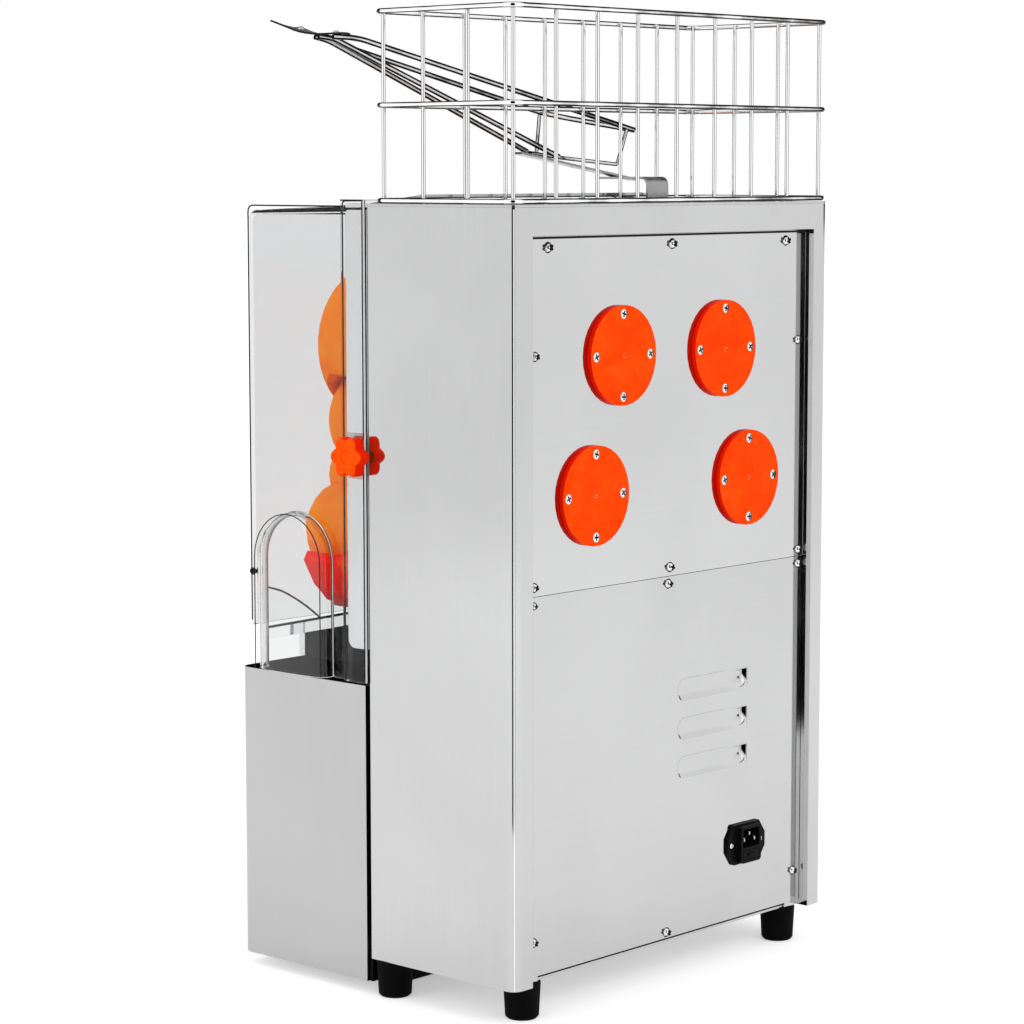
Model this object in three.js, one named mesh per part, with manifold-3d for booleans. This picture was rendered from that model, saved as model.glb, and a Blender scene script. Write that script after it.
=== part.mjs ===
// Commercial citrus juicer, millimetres. X runs along the width (the side panel seen at the
// left of the photo is +X), -Y is the serving front, +Y is the rear panel, +Z is up.
// While the pieces are built, z = 0 is the bottom edge of the body shell. At the end
// everything is moved so that the floor is z = 0 and the depth is centred.
import * as THREE from 'three';
import { mergeVertices } from 'three/addons/utils/BufferGeometryUtils.js';
import Module from 'manifold-3d';

const wasm = await Module();
wasm.setup();

// ---------------------------------------------------------------- driving sizes
const bodyWidth = 400;
const standardWidth = 400;
const bodyDepth = 158.2;
const bodyHeight = 608.5;
const footHeight = 30;
const frontReach = 140.8;
const basketHeight = 152;

// ---------------------------------------------------------------- shares and clearances
const half = 0.5;
const twice = 2;
const fit = 0.3;
const slide = 0.5;
const overlap = 0.6;
const far = 1000;
const fullTurn = 2 * Math.PI;
const quarterTurn = Math.PI / 2;
const degree = Math.PI / 180;

// ---------------------------------------------------------------- body
const sheet = 1.5;
const sideX = bodyWidth * half;
const rearY = bodyDepth * half;
const frontY = -rearY;
const cornerRadius = 9;
const frontCornerRadius = 2;
const rimWidth = 21.5;
const rimTop = 21.7;
const recess = 9.2;
const panelFlange = 18;
const panelY = rearY - recess;
const panelX = sideX - rimWidth;
const openingTop = bodyHeight - rimTop;
const seamZ = 307.2;
const lowerPanelBottom = 5;
const basePlateZ = 0.2;
const basePlateThick = 2;

const topPlateThick = 1.5;
const topPlateZ = bodyHeight + fit;
const topPlateTop = topPlateZ + topPlateThick;
const topLipDrop = 12;
const topRimHeight = 7;
const topRimEnd = 60;

// ---------------------------------------------------------------- feet
const footRadiusTop = 15;
const footRadiusBottom = 13.6;
const footStudRadius = 3;
const footStudTop = 8;
const footEdge = 2;
const rearFootInset = 34;
const rearFootX = sideX - rearFootInset;
const rearFootBack = 23.1;
const rearFootY = rearY - rearFootBack;
const frontFootInset = 13;
const frontFootX = sideX - frontFootInset;
const frontFootBack = 15.1;
const frontFootY = frontY + frontFootBack;

// ---------------------------------------------------------------- drum train
// The drums follow the body width by this share, so that they stay inside the cover both ways.
const drumWidthShare = 0.86;
const drumScale = drumWidthShare * bodyWidth / standardWidth + (1 - drumWidthShare);
const upperSpread = 65;
const lowerSpread = 98;
const drumDrop = 109.5;
const drumFloor = 293;
const ballSize = 40;
const ballThrow = 48;
const cupSize = 64;
const ballRadius = ballSize * drumScale;
const ballOffset = ballThrow * drumScale;
const cupRadius = cupSize * drumScale;
const upperX = upperSpread * drumScale;
const lowerX = lowerSpread * drumScale;
const lowerZ = drumFloor + ballOffset + ballRadius;
const upperZ = lowerZ + drumDrop * drumScale;
const shaftRadius = 10;
const shaftEndProud = 1.6;
const shaftRear = panelY + shaftEndProud;
const shaftOut = 110.9;
const shaftFront = frontY - shaftOut;
const capRadius = 40;
const capDepth = 4.1;
const capBossRadius = 19.6;
const capBossDepth = 9;
const capScrewCircle = 33;
const capScrewRadius = 4.4;
const capScrewDepth = 2.4;
const capScrewCount = 4;
const capCentreRadius = 2.2;
const capCentreDepth = 0.6;
const panelHoleRadius = 20;
const frontHoleRadius = 13;

const drumRearOut = 23.9;
const drumRear = frontY - drumRearOut;
const cupFrontOut = 131.9;
const cupFront = frontY - cupFrontOut;
const cupFrontWall = 5;
const cupRearWall = 6;
const cupEdge = 3;
const hubRadius = 22;
const ballFrontOut = 125.9;
const ballFront = frontY - ballFrontOut;
const ballRearOut = 31.9;
const ballRear = frontY - ballRearOut;
const ballGap = 2;
const ballNose = 33;
const ballTail = 26;
const ballFrontRadius = ballNose * drumScale;
const ballRearRadius = ballTail * drumScale;
const ballEdge = 7;
const ballTaperOut = 70.9;
const ballTaperY = frontY - ballTaperOut;
const collarRadius = 30;
const collarDepth = 6;
const wallTilt = Math.atan2(upperZ - lowerZ, upperX - lowerX);
const axisSpan = Math.hypot(upperX - lowerX, upperZ - lowerZ);

// ---------------------------------------------------------------- gears
const teeth = 20;
const pinionTeeth = 12;
const crossModule = upperX * twice / teeth;
const downModule = axisSpan / teeth;
const crossGearRearIn = 31.1;
const crossGearRear = frontY + crossGearRearIn;
const crossGearFrontIn = 17.1;
const crossGearFront = frontY + crossGearFrontIn;
const downGearRearIn = 47.1;
const downGearRear = frontY + downGearRearIn;
const downGearFrontIn = 33.1;
const downGearFront = frontY + downGearFrontIn;
const gearHubRadius = 18;
const gearHubFrontIn = 14.1;
const gearHubFront = frontY + gearHubFrontIn;
const gearHubRearIn = 49.1;
const gearHubRear = frontY + gearHubRearIn;
const pressureAngle = 20 * degree;
const backlash = 0.5;
const addendumShare = 0.85;
const dedendumShare = 1.15;
const pinionRadius = pinionTeeth * downModule * half;
const pinionSpread = 45;
const pinionX = pinionSpread * drumScale;
const pinionReach = (teeth + pinionTeeth) * downModule * half;
const pinionZ = lowerZ - Math.sqrt(pinionReach ** 2 - (lowerX - pinionX) ** 2);
const motorShaftRadius = 7;

const bearingPlateFrontIn = 1.8;
const bearingPlateFront = frontY + bearingPlateFrontIn;
const bearingPlateRearIn = 11.8;
const bearingPlateRear = frontY + bearingPlateRearIn;
const bearingPlateHalf = 150;
const bearingPlateUnder = 60;
const bearingPlateOver = 61.5;
const bearingPlateX = bearingPlateHalf * drumScale;
const bearingPlateBottom = lowerZ - bearingPlateUnder * drumScale;
const bearingPlateTop = upperZ + bearingPlateOver * drumScale;
const bearingPlateCorner = 24;

const motorPlateFrontIn = 52.1;
const motorPlateFront = frontY + motorPlateFrontIn;
const motorPlateRearIn = 56.1;
const motorPlateRear = frontY + motorPlateRearIn;
const motorPlateClear = 2.2;
const motorPlateX = sideX - motorPlateClear;
const motorPlateBottom = 236;
const motorPlateTop = 348;
const motorPlateFlange = 22;
const gearboxX = 46;
const gearboxZ = 42;
const gearboxIn = 85.1;
const gearboxRear = frontY + gearboxIn;
const motorRadius = 38;
const motorEndClear = 9.6;
const motorRear = panelY - motorEndClear;
const motorShaftHole = 9;
const motorSocket = 10;

// ---------------------------------------------------------------- knife, scrapers, juice path
const knifeHolderX = 6;
const knifeHolderOut = 123.9;
const knifeHolderFront = frontY - knifeHolderOut;
const knifeHolderBottom = 300;
const knifeHolderUnder = 51.5;
const knifeHolderTop = upperZ - knifeHolderUnder * drumScale;
const knifeFlangeX = 24;
const knifeFlangeDepth = 5;
const knifeFlangeBottom = 318;
const knifeFlangeUnder = 66.5;
const knifeFlangeTop = upperZ - knifeFlangeUnder * drumScale;
const knifeSlotX = 1.2;
const knifeSlotUnder = 67.5;
const knifeSlotBottom = upperZ - knifeSlotUnder * drumScale;
const knifeX = 0.9;
const knifeFrontOut = 120.9;
const knifeFront = frontY - knifeFrontOut;
const knifeRearOut = 30.9;
const knifeRear = frontY - knifeRearOut;
const knifeUnder = 28.5;
const knifeTop = upperZ - knifeUnder * drumScale;
const knifeBevel = 6;

const scraperGap = 3;
const scraperStart = 262 * degree;
const scraperEnd = 320 * degree;
const scraperSteps = 10;
const scraperOut = 103.9;
const scraperFront = frontY - scraperOut;
const scraperOffsets = [[74, -66], [62, -88], [38, -108], [14, -113], [-12, -106]];
const scraperOuter = scraperOffsets.map(([out, up]) => [lowerX + out * drumScale, lowerZ + up * drumScale]);

const juiceX = 72;
const drumClear = 3;
const funnelTop = drumFloor - drumClear;
const funnelBottom = 262;
const funnelOut = 124.9;
const funnelFront = frontY - funnelOut;
const funnelSheet = 1.5;
const funnelSlope = 26;
const funnelMouthX = 34;
const funnelMouthY = 24;

const filterTop = 257.5;
const filterBottom = 231;
const filterFrontOut = 126.9;
const filterFront = frontY - filterFrontOut;
const filterRearOut = 6.9;
const filterRear = frontY - filterRearOut;
const filterHandleX = 22;
const filterHandleReach = 13;
const filterHandleZ = 6;
const filterSlotCount = 12;
const filterSlotHalf = 2.2;
const filterFlange = 8;

const tankTop = filterBottom - fit;
const tankBottom = 178;
const tankFrontOut = 118.9;
const tankFront = frontY - tankFrontOut;
const tankRearOut = 4.9;
const tankRear = frontY - tankRearOut;
const tankBackX = 60;
const tankBackTop = 222;
const tapHoleZ = 192;
const tapHoleRadius = 7.6;
const tapRadius = 7.2;
const tapFlangeRadius = 12;
const tapFlangeDepth = 4;
const tapSpoutOut = 132.9;
const tapSpoutY = frontY - tapSpoutOut;
const tapSpoutRadius = 9;
const tapSpoutBottom = 160;
const tapSpoutTop = 202;
const tapBore = 4.5;
const tapLeverTop = 216;
const tapLeverWidth = 5;
const tapLeverHubRadius = 7;
const tapLeverLength = 30;
const tapLeverStart = 208;
const tapStemRadius = 3;

// ---------------------------------------------------------------- bins, shelf, drip tray
const binInnerX = 76;
const binTop = 224;
const binBottom = -20;
const binRearOut = 4.1;
const binRear = frontY - binRearOut;
const binAhead = 12.4;
const binFront = frontY - frontReach - binAhead;
const binSheet = 1.2;
const binCorner = 10;
const shelfInset = 37;
const shelfX = sideX - shelfInset;
const shelfOut = 106.9;
const shelfFront = frontY - shelfOut;
const shelfTop = binBottom - fit;
const shelfBottom = -28;
const skirtInset = 3;
const skirtX = sideX - skirtInset;
const skirtTop = 18;
const skirtThick = 3;

const trayX = 72;
const trayFrontOut = 126.9;
const trayFront = frontY - trayFrontOut;
const trayRearOut = 4.9;
const trayRear = frontY - trayRearOut;
const trayTop = -5;
const traySheet = 2;
const gridThick = 1.5;
const gridSlotCount = 9;
const gridSlotWidth = 6;
const gridSlotMargin = 12;

// ---------------------------------------------------------------- front cover
const coverThick = 3;
const coverInset = 3;
const coverX = sideX - coverInset;
const coverFront = frontY - frontReach;
const coverTopRear = 609;
const coverTopFront = 604.5;
const coverNose = 10;
const coverNoseSteps = 5;
const coverBottom = 226;
const coverFrontBottom = 260;
const coverCutOut = 43.9;
const coverCutY = frontY - coverCutOut;
const flangeFrontOut = 26.9;
const flangeFront = frontY - flangeFrontOut;
const flangeRearOut = 1.9;
const flangeRear = frontY - flangeRearOut;
const flangeProud = 2.5;
const flangeX = sideX + flangeProud;
const flangeTop = 613.5;
const feedHoleRadius = 44;
const feedHoleOut = 77.9;
const feedHoleY = frontY - feedHoleOut;
const feedHoleSides = 32;

const knobOut = 10.9;
const knobY = frontY - knobOut;
const knobZ = 409.5;
const slotHalf = 4.6;
const studRadius = 3.5;
const studProud = 12;
const studReach = sideX + studProud;
const studPlateInset = 0.8;
const studPlateX = sideX - studPlateInset;
const studPlateThick = 3;
const studPlateHalf = 18;
const studPlateOut = 23.4;
const studPlateFront = frontY - studPlateOut;
const studFootWidth = 20;

const knobRadius = 17.4;
const knobWaist = 13.4;
const knobDepth = 12;
const knobLobes = 6;
const knobPoints = 36;
const knobBevel = 1.6;
const knobBore = 3.8;
const knobBoreDepth = 10;
const knobDimple = 5.5;
const knobDimpleDepth = 1.2;

const hoodOut = 90.9;
const hoodCentreY = frontY - hoodOut;
const hoodHalfY = 47;
const hoodBulge = 20.5;
const hoodBottom = 227;
const hoodSpring = 312;
const hoodWall = 2.4;
const hoodSteps = 12;
const hoodLevels = 5;
const hoodRim = 3;

const bumperInset = 10;
const bumperX = sideX - bumperInset;
const bumperZ = 304;
const bumperRadius = 4.2;
const bumperDepth = 3;

// ---------------------------------------------------------------- rear panel details
const louvreLeft = -10;
const louvreRight = -100;
const louvreTops = [220, 187.4, 154.8];
const louvreHeight = 19;
const louvreDepth = 8;
const louvreSheet = 1.2;
const louvreColumns = 12;
const louvreRows = 6;
const louvreBendStartShare = 0.1;
const louvreBendEndShare = 1;
const louvreEndShare = 0.16;

const inletX = -100.5;
const inletZ = 68.6;
const inletFlangeX = 25;
const inletFlangeZ = 17.2;
const inletFlatX = 17;
const inletPointZ = 6;
const inletFlange = 2.5;
const inletFaceX = 13.6;
const inletFaceTop = 15.6;
const inletFaceBottom = -16;
const inletFaceDepth = 5;
const inletFaceCorner = 3;
const inletPocketX = 11.2;
const inletPocketTop = 13.2;
const inletPocketBottom = -2.6;
const inletPocketDepth = 14;
const inletDepth = 37.1;
const inletBackY = rearY - inletDepth;
const inletCutX = 13.9;
const inletScrewX = 20;
const inletScrewRadius = 2.6;
const inletScrewDepth = 1.4;
const fuseX = 10.8;
const fuseTop = -5.2;
const fuseBottom = -13.4;
const fuseDepth = 20;
const fuseGripX = 4;
const fuseGripZ = 1.4;
const fuseGripDepth = 1.2;

// ---------------------------------------------------------------- switch
const switchZ = 218;
const switchBack = 53.1;
const switchY = rearY - switchBack;
const switchHalfY = 14;
const switchHalfZ = 11;
const switchFlange = 1.6;
const switchBodyY = 12;
const switchBodyZ = 9;
const switchBodyDepth = 20;
const switchWellY = 9.5;
const switchWellZ = 7.4;
const switchWellDepth = 9;
const rockerHalfY = 9;
const rockerHalfZ = 5.9;
const rockerProud = 2.6;
const rockerValley = 1;
const rockerBack = 5;

// ---------------------------------------------------------------- basket and feed ramp
const ringRadius = 2.1;
const wireRadius = 1.65;
const wireSides = 6;
const basketInset = 2;
const basketX = sideX - basketInset;
const basketRearInset = 2.1;
const basketRear = rearY - basketRearInset;
const basketFrontIn = 8.2;
const basketFront = frontY + basketFrontIn;
const basketCorner = 10;
const ringHeights = [4.2, 78.7, basketHeight];
const wirePitchCount = 8;
const sideWireCount = 3;
const wirePoke = 1.9;
const wireTopPoke = 1.2;
const cornerSteps = 4;

const wireInset = ringRadius + wireRadius - overlap;
const basketPitch = twice * (basketX - wireInset) / wirePitchCount;
const bracketPitches = 2.607;
const bracketX = -bracketPitches * basketPitch;
const rampAside = 1.5;
const rampOut = 20.9;
const rampOrigin = [bracketX + rampAside, frontY - rampOut];
const rampHeading = Math.atan2(-0.31, 0.95);
const rampDrop = 1;
const rampBase = bodyHeight - rampDrop;
const rodRadius = 2.5;
const strutRadius = 1.6;
const railT = 34.5;
const floorT = 14;
const railNear = [[288, railT, 137], [266, railT, 136.6], [0, railT, 63.4]];
const railFar = [[288, -railT, 137], [266, -railT, 136.6], [54, -railT, 79.3], [40, -20, 75], [20, 8, 69],
  [0, railT, 63.4]];
const floorNear = [[292, floorT, 137], [277, floorT, 136.2], [63, floorT, 40.4]];
const floorFar = [[292, -floorT, 137], [273, -floorT, 136.2], [78.5, -floorT, 45]];
const lowerTie = [[60, -30, 43], [77.8, -floorT, 44.3], [62.2, floorT, 39.8], [16, 33, 34]];
const leftStrut = [[54, -railT, 79.3], [60, -30, 43]];
const rightStrut = [[7, railT, 65.2], [16, 33, 34]];
const platePath = [[252, 139.4], [284, 139.4], [296, 140.8], [308, 143.4], [328, 150]];
const plateHalf = 41;
const plateTipHalf = 26;
const plateThick = 1.6;
const plateTaperStart = 296;

const strapHalf = 8;
const strapThick = 2;
const strapStart = [96, 44.7];
const strapEnd = [-22, 21.6];
const bracketHalf = 14;
const bracketTop = 22.4;
const bracketOut = 30.9;
const bracketFront = frontY - bracketOut;
const bracketRearIn = 29.1;
const bracketRear = frontY + bracketRearIn;
const bracketBend = 7;
const bracketFootIn = 43.1;
const bracketFootRear = frontY + bracketFootIn;
const bendSteps = 5;

// ---------------------------------------------------------------- colours
const steel = 0xd2d4d5;
const brightSteel = 0xe4e6e8;
const orange = 0xff5a08;
const clearGrey = 0xdfe7ea;
const black = 0x151515;
const castGrey = 0x8b8f92;

// ---------------------------------------------------------------- solids
function toSolid(geometry) {
  const bare = geometry.clone();
  bare.deleteAttribute('normal');
  bare.deleteAttribute('uv');
  const merged = mergeVertices(bare, mergeTolerance);
  return new wasm.Manifold(new wasm.Mesh({
    numProp: 3,
    vertProperties: new Float32Array(merged.attributes.position.array),
    triVerts: new Uint32Array(merged.index.array),
  }));
}

function toGeometry(solid) {
  const data = solid.getMesh();
  const geometry = new THREE.BufferGeometry();
  geometry.setAttribute('position', new THREE.BufferAttribute(new Float32Array(data.vertProperties), 3));
  geometry.setIndex(new THREE.BufferAttribute(new Uint32Array(data.triVerts), 1));
  return geometry;
}

const mergeTolerance = 1e-4;

function join(solids) {
  return solids.reduce((sum, one) => sum.add(one));
}

function cut(solid, tools) {
  return tools.reduce((rest, tool) => rest.subtract(tool), solid);
}

function box(x0, x1, y0, y1, z0, z1) {
  const geometry = new THREE.BoxGeometry(x1 - x0, y1 - y0, z1 - z0);
  geometry.translate((x0 + x1) * half, (y0 + y1) * half, (z0 + z1) * half);
  return toSolid(geometry);
}

function shapeOf(points) {
  return new THREE.Shape(points.map(([a, b]) => new THREE.Vector2(a, b)));
}

// Profile in the XY plane, raised from z0 to z1.
function prismZ(points, z0, z1) {
  const geometry = new THREE.ExtrudeGeometry(shapeOf(points), { depth: z1 - z0, bevelEnabled: false });
  geometry.translate(0, 0, z0);
  return toSolid(geometry);
}

// Profile in the XZ plane, drawn from y0 (front) to y1 (rear).
function prismY(points, y0, y1) {
  const geometry = new THREE.ExtrudeGeometry(shapeOf(points), { depth: y1 - y0, bevelEnabled: false });
  geometry.rotateX(quarterTurn);
  geometry.translate(0, y1, 0);
  return toSolid(geometry);
}

// Profile in the YZ plane, drawn from x0 to x1.
function prismX(points, x0, x1) {
  const geometry = new THREE.ExtrudeGeometry(shapeOf(points), { depth: x1 - x0, bevelEnabled: false });
  geometry.rotateX(quarterTurn);
  geometry.rotateZ(quarterTurn);
  geometry.translate(x0, 0, 0);
  return toSolid(geometry);
}

function ellipsePoints(a, b, centreA, centreB, sides) {
  return Array.from({ length: sides }, (_, k) => {
    const turn = fullTurn * k / sides;
    return [centreA + a * Math.cos(turn), centreB + b * Math.sin(turn)];
  });
}

const roundSides = 20;
const coarseSides = 14;
const screwSides = 12;

function rodY(x, z, radius, y0, y1, sides = roundSides) {
  return prismY(ellipsePoints(radius, radius, x, z, sides), y0, y1);
}

function rodX(y, z, radius, x0, x1, sides = roundSides) {
  return prismX(ellipsePoints(radius, radius, y, z, sides), x0, x1);
}

function rodZ(x, y, radius, z0, z1, sides = roundSides) {
  return prismZ(ellipsePoints(radius, radius, x, y, sides), z0, z1);
}

// Turned piece about an axis parallel to Y: profile is a list of [radius, y].
function turnY(profile, x, z, sides = roundSides) {
  const points = profile.map(([radius, y]) => new THREE.Vector2(radius, y));
  const geometry = new THREE.LatheGeometry(points, sides);
  geometry.translate(x, 0, z);
  return toSolid(orient(geometry));
}

// Lathes drawn the other way round come out with their faces inward, so they are flipped.
function orient(geometry) {
  if (signedVolume(geometry) >= 0) return geometry;
  const index = geometry.index.array;
  for (let k = 0; k < index.length; k += 3) {
    const keep = index[k];
    index[k] = index[k + 1];
    index[k + 1] = keep;
  }
  return geometry;
}

function signedVolume(geometry) {
  const place = geometry.attributes.position;
  const index = geometry.index.array;
  const a = new THREE.Vector3();
  const b = new THREE.Vector3();
  const c = new THREE.Vector3();
  let sum = 0;
  for (let k = 0; k < index.length; k += 3) {
    a.fromBufferAttribute(place, index[k]);
    b.fromBufferAttribute(place, index[k + 1]);
    c.fromBufferAttribute(place, index[k + 2]);
    sum += a.dot(b.cross(c));
  }
  return sum;
}

// Triangles that fill a flat loop of [x, y, z], turned the same way round as the loop.
function capFaces(loop) {
  const normal = new THREE.Vector3();
  loop.forEach((one, k) => {
    const here = new THREE.Vector3(...one);
    normal.add(here.cross(new THREE.Vector3(...loop[(k + 1) % loop.length])));
  });
  const size = normal.toArray().map(Math.abs);
  const drop = size.indexOf(Math.max(...size));
  const flat = loop.map((one) => new THREE.Vector2(...one.filter((_, axis) => axis !== drop)));
  const turned = Math.sign(THREE.ShapeUtils.area(flat));
  return THREE.ShapeUtils.triangulateShape([...flat], []).map(([a, b, c]) => (
    Math.sign(THREE.ShapeUtils.area([flat[a], flat[b], flat[c]])) === turned ? [a, b, c] : [a, c, b]));
}

// Closed solid from a stack of equal-length loops of [x, y, z].
function loft(loops) {
  const count = loops[0].length;
  const position = loops.flat(2);
  const index = [];
  for (let level = 0; level + 1 < loops.length; level += 1) {
    for (let k = 0; k < count; k += 1) {
      const a = level * count + k;
      const b = level * count + (k + 1) % count;
      index.push(a, b, b + count, a, b + count, a + count);
    }
  }
  const last = loops.length - 1;
  capFaces(loops[0]).forEach(([a, b, c]) => index.push(a, c, b));
  capFaces(loops[last]).forEach(([a, b, c]) => index.push(last * count + a, last * count + b, last * count + c));
  const geometry = new THREE.BufferGeometry();
  geometry.setAttribute('position', new THREE.BufferAttribute(new Float32Array(position), 3));
  geometry.setIndex(index);
  return toSolid(orient(geometry));
}

// Round wire along a list of [x, y, z]; a closed wire joins its end to its start.
function wire(path, radius, closed = false, sides = wireSides) {
  const points = path.map((one) => new THREE.Vector3(...one));
  const count = points.length;
  const loops = [];
  const upright = new THREE.Vector3(0, 0, 1);
  const sideways = new THREE.Vector3(1, 0, 0);
  for (let k = 0; k < count; k += 1) {
    const before = points[closed ? (k + count - 1) % count : Math.max(k - 1, 0)];
    const after = points[closed ? (k + 1) % count : Math.min(k + 1, count - 1)];
    const inward = points[k].clone().sub(before).normalize();
    const outward = after.clone().sub(points[k]).normalize();
    const along = inward.clone().add(outward).normalize();
    const steep = Math.abs(along.z) > steepShare;
    const across = (steep ? sideways.clone() : upright.clone()).cross(along).normalize();
    const over = along.clone().cross(across).normalize();
    const stretch = 1 / Math.max(along.dot(outward.lengthSq() > 0 ? outward : inward), mitreShare);
    const bend = outward.clone().sub(inward);
    const bendAcross = Math.abs(bend.dot(across)) > Math.abs(bend.dot(over));
    loops.push(Array.from({ length: sides }, (_, side) => {
      const turn = fullTurn * side / sides;
      const first = radius * Math.cos(turn) * (bendAcross ? stretch : 1);
      const second = radius * Math.sin(turn) * (bendAcross ? 1 : stretch);
      return points[k].clone().addScaledVector(across, first).addScaledVector(over, second).toArray();
    }));
  }
  if (!closed) return loft(loops);
  const geometry = new THREE.BufferGeometry();
  geometry.setAttribute('position', new THREE.BufferAttribute(new Float32Array(loops.flat(2)), 3));
  const index = [];
  for (let level = 0; level < count; level += 1) {
    for (let side = 0; side < sides; side += 1) {
      const a = level * sides + side;
      const b = level * sides + (side + 1) % sides;
      const c = ((level + 1) % count) * sides + side;
      const d = ((level + 1) % count) * sides + (side + 1) % sides;
      index.push(a, b, d, a, d, c);
    }
  }
  geometry.setIndex(index);
  return toSolid(orient(geometry));
}

const steepShare = 0.9;
const mitreShare = 0.5;

function roundedRect(x0, x1, y0, y1, corners, steps = cornerSteps) {
  const [r0, r1, r2, r3] = corners;
  const quarter = (x, y, radius, start) => (radius > 0
    ? Array.from({ length: steps + 1 }, (_, k) => {
      const turn = start + quarterTurn * k / steps;
      return [x + radius * Math.cos(turn), y + radius * Math.sin(turn)];
    })
    : [[x, y]]);
  return [
    ...quarter(x1 - r0, y1 - r0, r0, 0),
    ...quarter(x0 + r1, y1 - r1, r1, quarterTurn),
    ...quarter(x0 + r2, y0 + r2, r2, twice * quarterTurn),
    ...quarter(x1 - r3, y0 + r3, r3, -quarterTurn),
  ];
}

function mirrorX(solid) {
  return solid.mirror([1, 0, 0]);
}

const drums = [
  { name: 'upper_right', x: upperX, z: upperZ, cup: true, side: 1 },
  { name: 'upper_left', x: -upperX, z: upperZ, cup: true, side: -1 },
  { name: 'lower_right', x: lowerX, z: lowerZ, cup: false, side: 1 },
  { name: 'lower_left', x: -lowerX, z: lowerZ, cup: false, side: -1 },
];

// ---------------------------------------------------------------- body pieces
function bodyShell() {
  const outer = roundedRect(-sideX, sideX, frontY, rearY,
    [cornerRadius, cornerRadius, frontCornerRadius, frontCornerRadius]);
  const innerCorner = cornerRadius - sheet;
  const frontInner = frontCornerRadius - sheet;
  const inner = roundedRect(-sideX + sheet, sideX - sheet, frontY + sheet, rearY - sheet,
    [innerCorner, innerCorner, frontInner, frontInner]);
  let shell = cut(prismZ(outer, 0, bodyHeight), [prismZ(inner, -far, far)]);
  shell = cut(shell, [box(-panelX, panelX, 0, far, -far, openingTop)]);
  const returnFront = panelY - sheet - fit - sheet;
  const rims = [1, -1].map((side) => {
    const wall = box(panelX, panelX + sheet, returnFront, rearY - sheet * half, 0, openingTop + sheet);
    const flange = box(panelX - panelFlange, panelX + sheet, returnFront, returnFront + sheet,
      0, openingTop + sheet);
    const rim = join([wall, flange]);
    return side > 0 ? rim : mirrorX(rim);
  });
  const ceiling = box(-panelX - sheet, panelX + sheet, returnFront, rearY - sheet * half,
    openingTop, openingTop + sheet);
  const topFlange = box(-panelX - sheet, panelX + sheet, returnFront, returnFront + sheet,
    openingTop - panelFlange, openingTop + sheet);
  shell = join([shell, ...rims, ceiling, topFlange]);
  const shaftHoles = drums.map((drum) => rodY(drum.x, drum.z, frontHoleRadius, -far, 0, coarseSides));
  const switchHole = box(-far, -sideX + sheet * twice, switchY - switchBodyY - fit, switchY + switchBodyY + fit,
    switchZ - switchBodyZ - fit, switchZ + switchBodyZ + fit);
  return cut(shell, [...shaftHoles, switchHole]);
}

function topPlate() {
  const edge = sheet + fit;
  const corners = [cornerRadius, cornerRadius, frontCornerRadius, frontCornerRadius];
  const lid = prismZ(roundedRect(-sideX, sideX, frontY, rearY, corners), topPlateZ, topPlateTop);
  const inside = cornerRadius - edge;
  const lipOuter = roundedRect(-sideX + edge, sideX - edge, frontY + edge, rearY - edge,
    [inside, inside, fit, fit]);
  const lipInner = roundedRect(-sideX + edge + sheet, sideX - edge - sheet, frontY + edge + sheet,
    rearY - edge - sheet, [inside - sheet, inside - sheet, 0, 0]);
  const lip = cut(prismZ(lipOuter, topPlateZ - topLipDrop, topPlateZ + overlap), [prismZ(lipInner, -far, far)]);
  const rimTopZ = topPlateTop + topRimHeight;
  const rimX = sideX - frontCornerRadius - sheet;
  const rim = prismY([[-rimX, topPlateZ + overlap], [rimX, topPlateZ + overlap], [rimX, topPlateTop + overlap],
    [rimX - topRimEnd, rimTopZ], [-rimX + topRimEnd, rimTopZ], [-rimX, topPlateTop + overlap]],
  frontY + sheet, frontY + sheet * twice);
  return join([lid, lip, rim]);
}

function basePlate() {
  const edge = sheet + slide;
  const studHole = footStudRadius + fit;
  const returnFront = panelY - sheet - fit - sheet;
  const plate = box(-sideX + edge, sideX - edge, frontY + edge, returnFront - slide, basePlateZ,
    basePlateZ + basePlateThick);
  return cut(plate, feet.map(({ x, y }) => rodZ(x, y, studHole, -far, far, coarseSides)));
}

const feet = [
  { name: 'rear_right', x: rearFootX, y: rearFootY },
  { name: 'rear_left', x: -rearFootX, y: rearFootY },
  { name: 'front_right', x: frontFootX, y: frontFootY },
  { name: 'front_left', x: -frontFootX, y: frontFootY },
];

function foot({ x, y }) {
  const profile = [[0, -footHeight], [footRadiusBottom - footEdge, -footHeight],
    [footRadiusBottom, -footHeight + footEdge], [footRadiusTop, -footEdge - fit], [footRadiusTop, -fit],
    [footStudRadius, -fit], [footStudRadius, footStudTop], [0, footStudTop]];
  const geometry = new THREE.LatheGeometry(profile.map(([r, z]) => new THREE.Vector2(r, z)), roundSides);
  geometry.rotateX(quarterTurn);
  geometry.translate(x, y, 0);
  return toSolid(orient(geometry));
}

function panelSheet(z0, z1) {
  return box(-panelX + slide, panelX - slide, panelY - sheet, panelY, z0, z1);
}

function rearUpperPanel() {
  return cut(panelSheet(seamZ, openingTop - slide),
    drums.map((drum) => rodY(drum.x, drum.z, panelHoleRadius, -far, far)));
}

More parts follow.
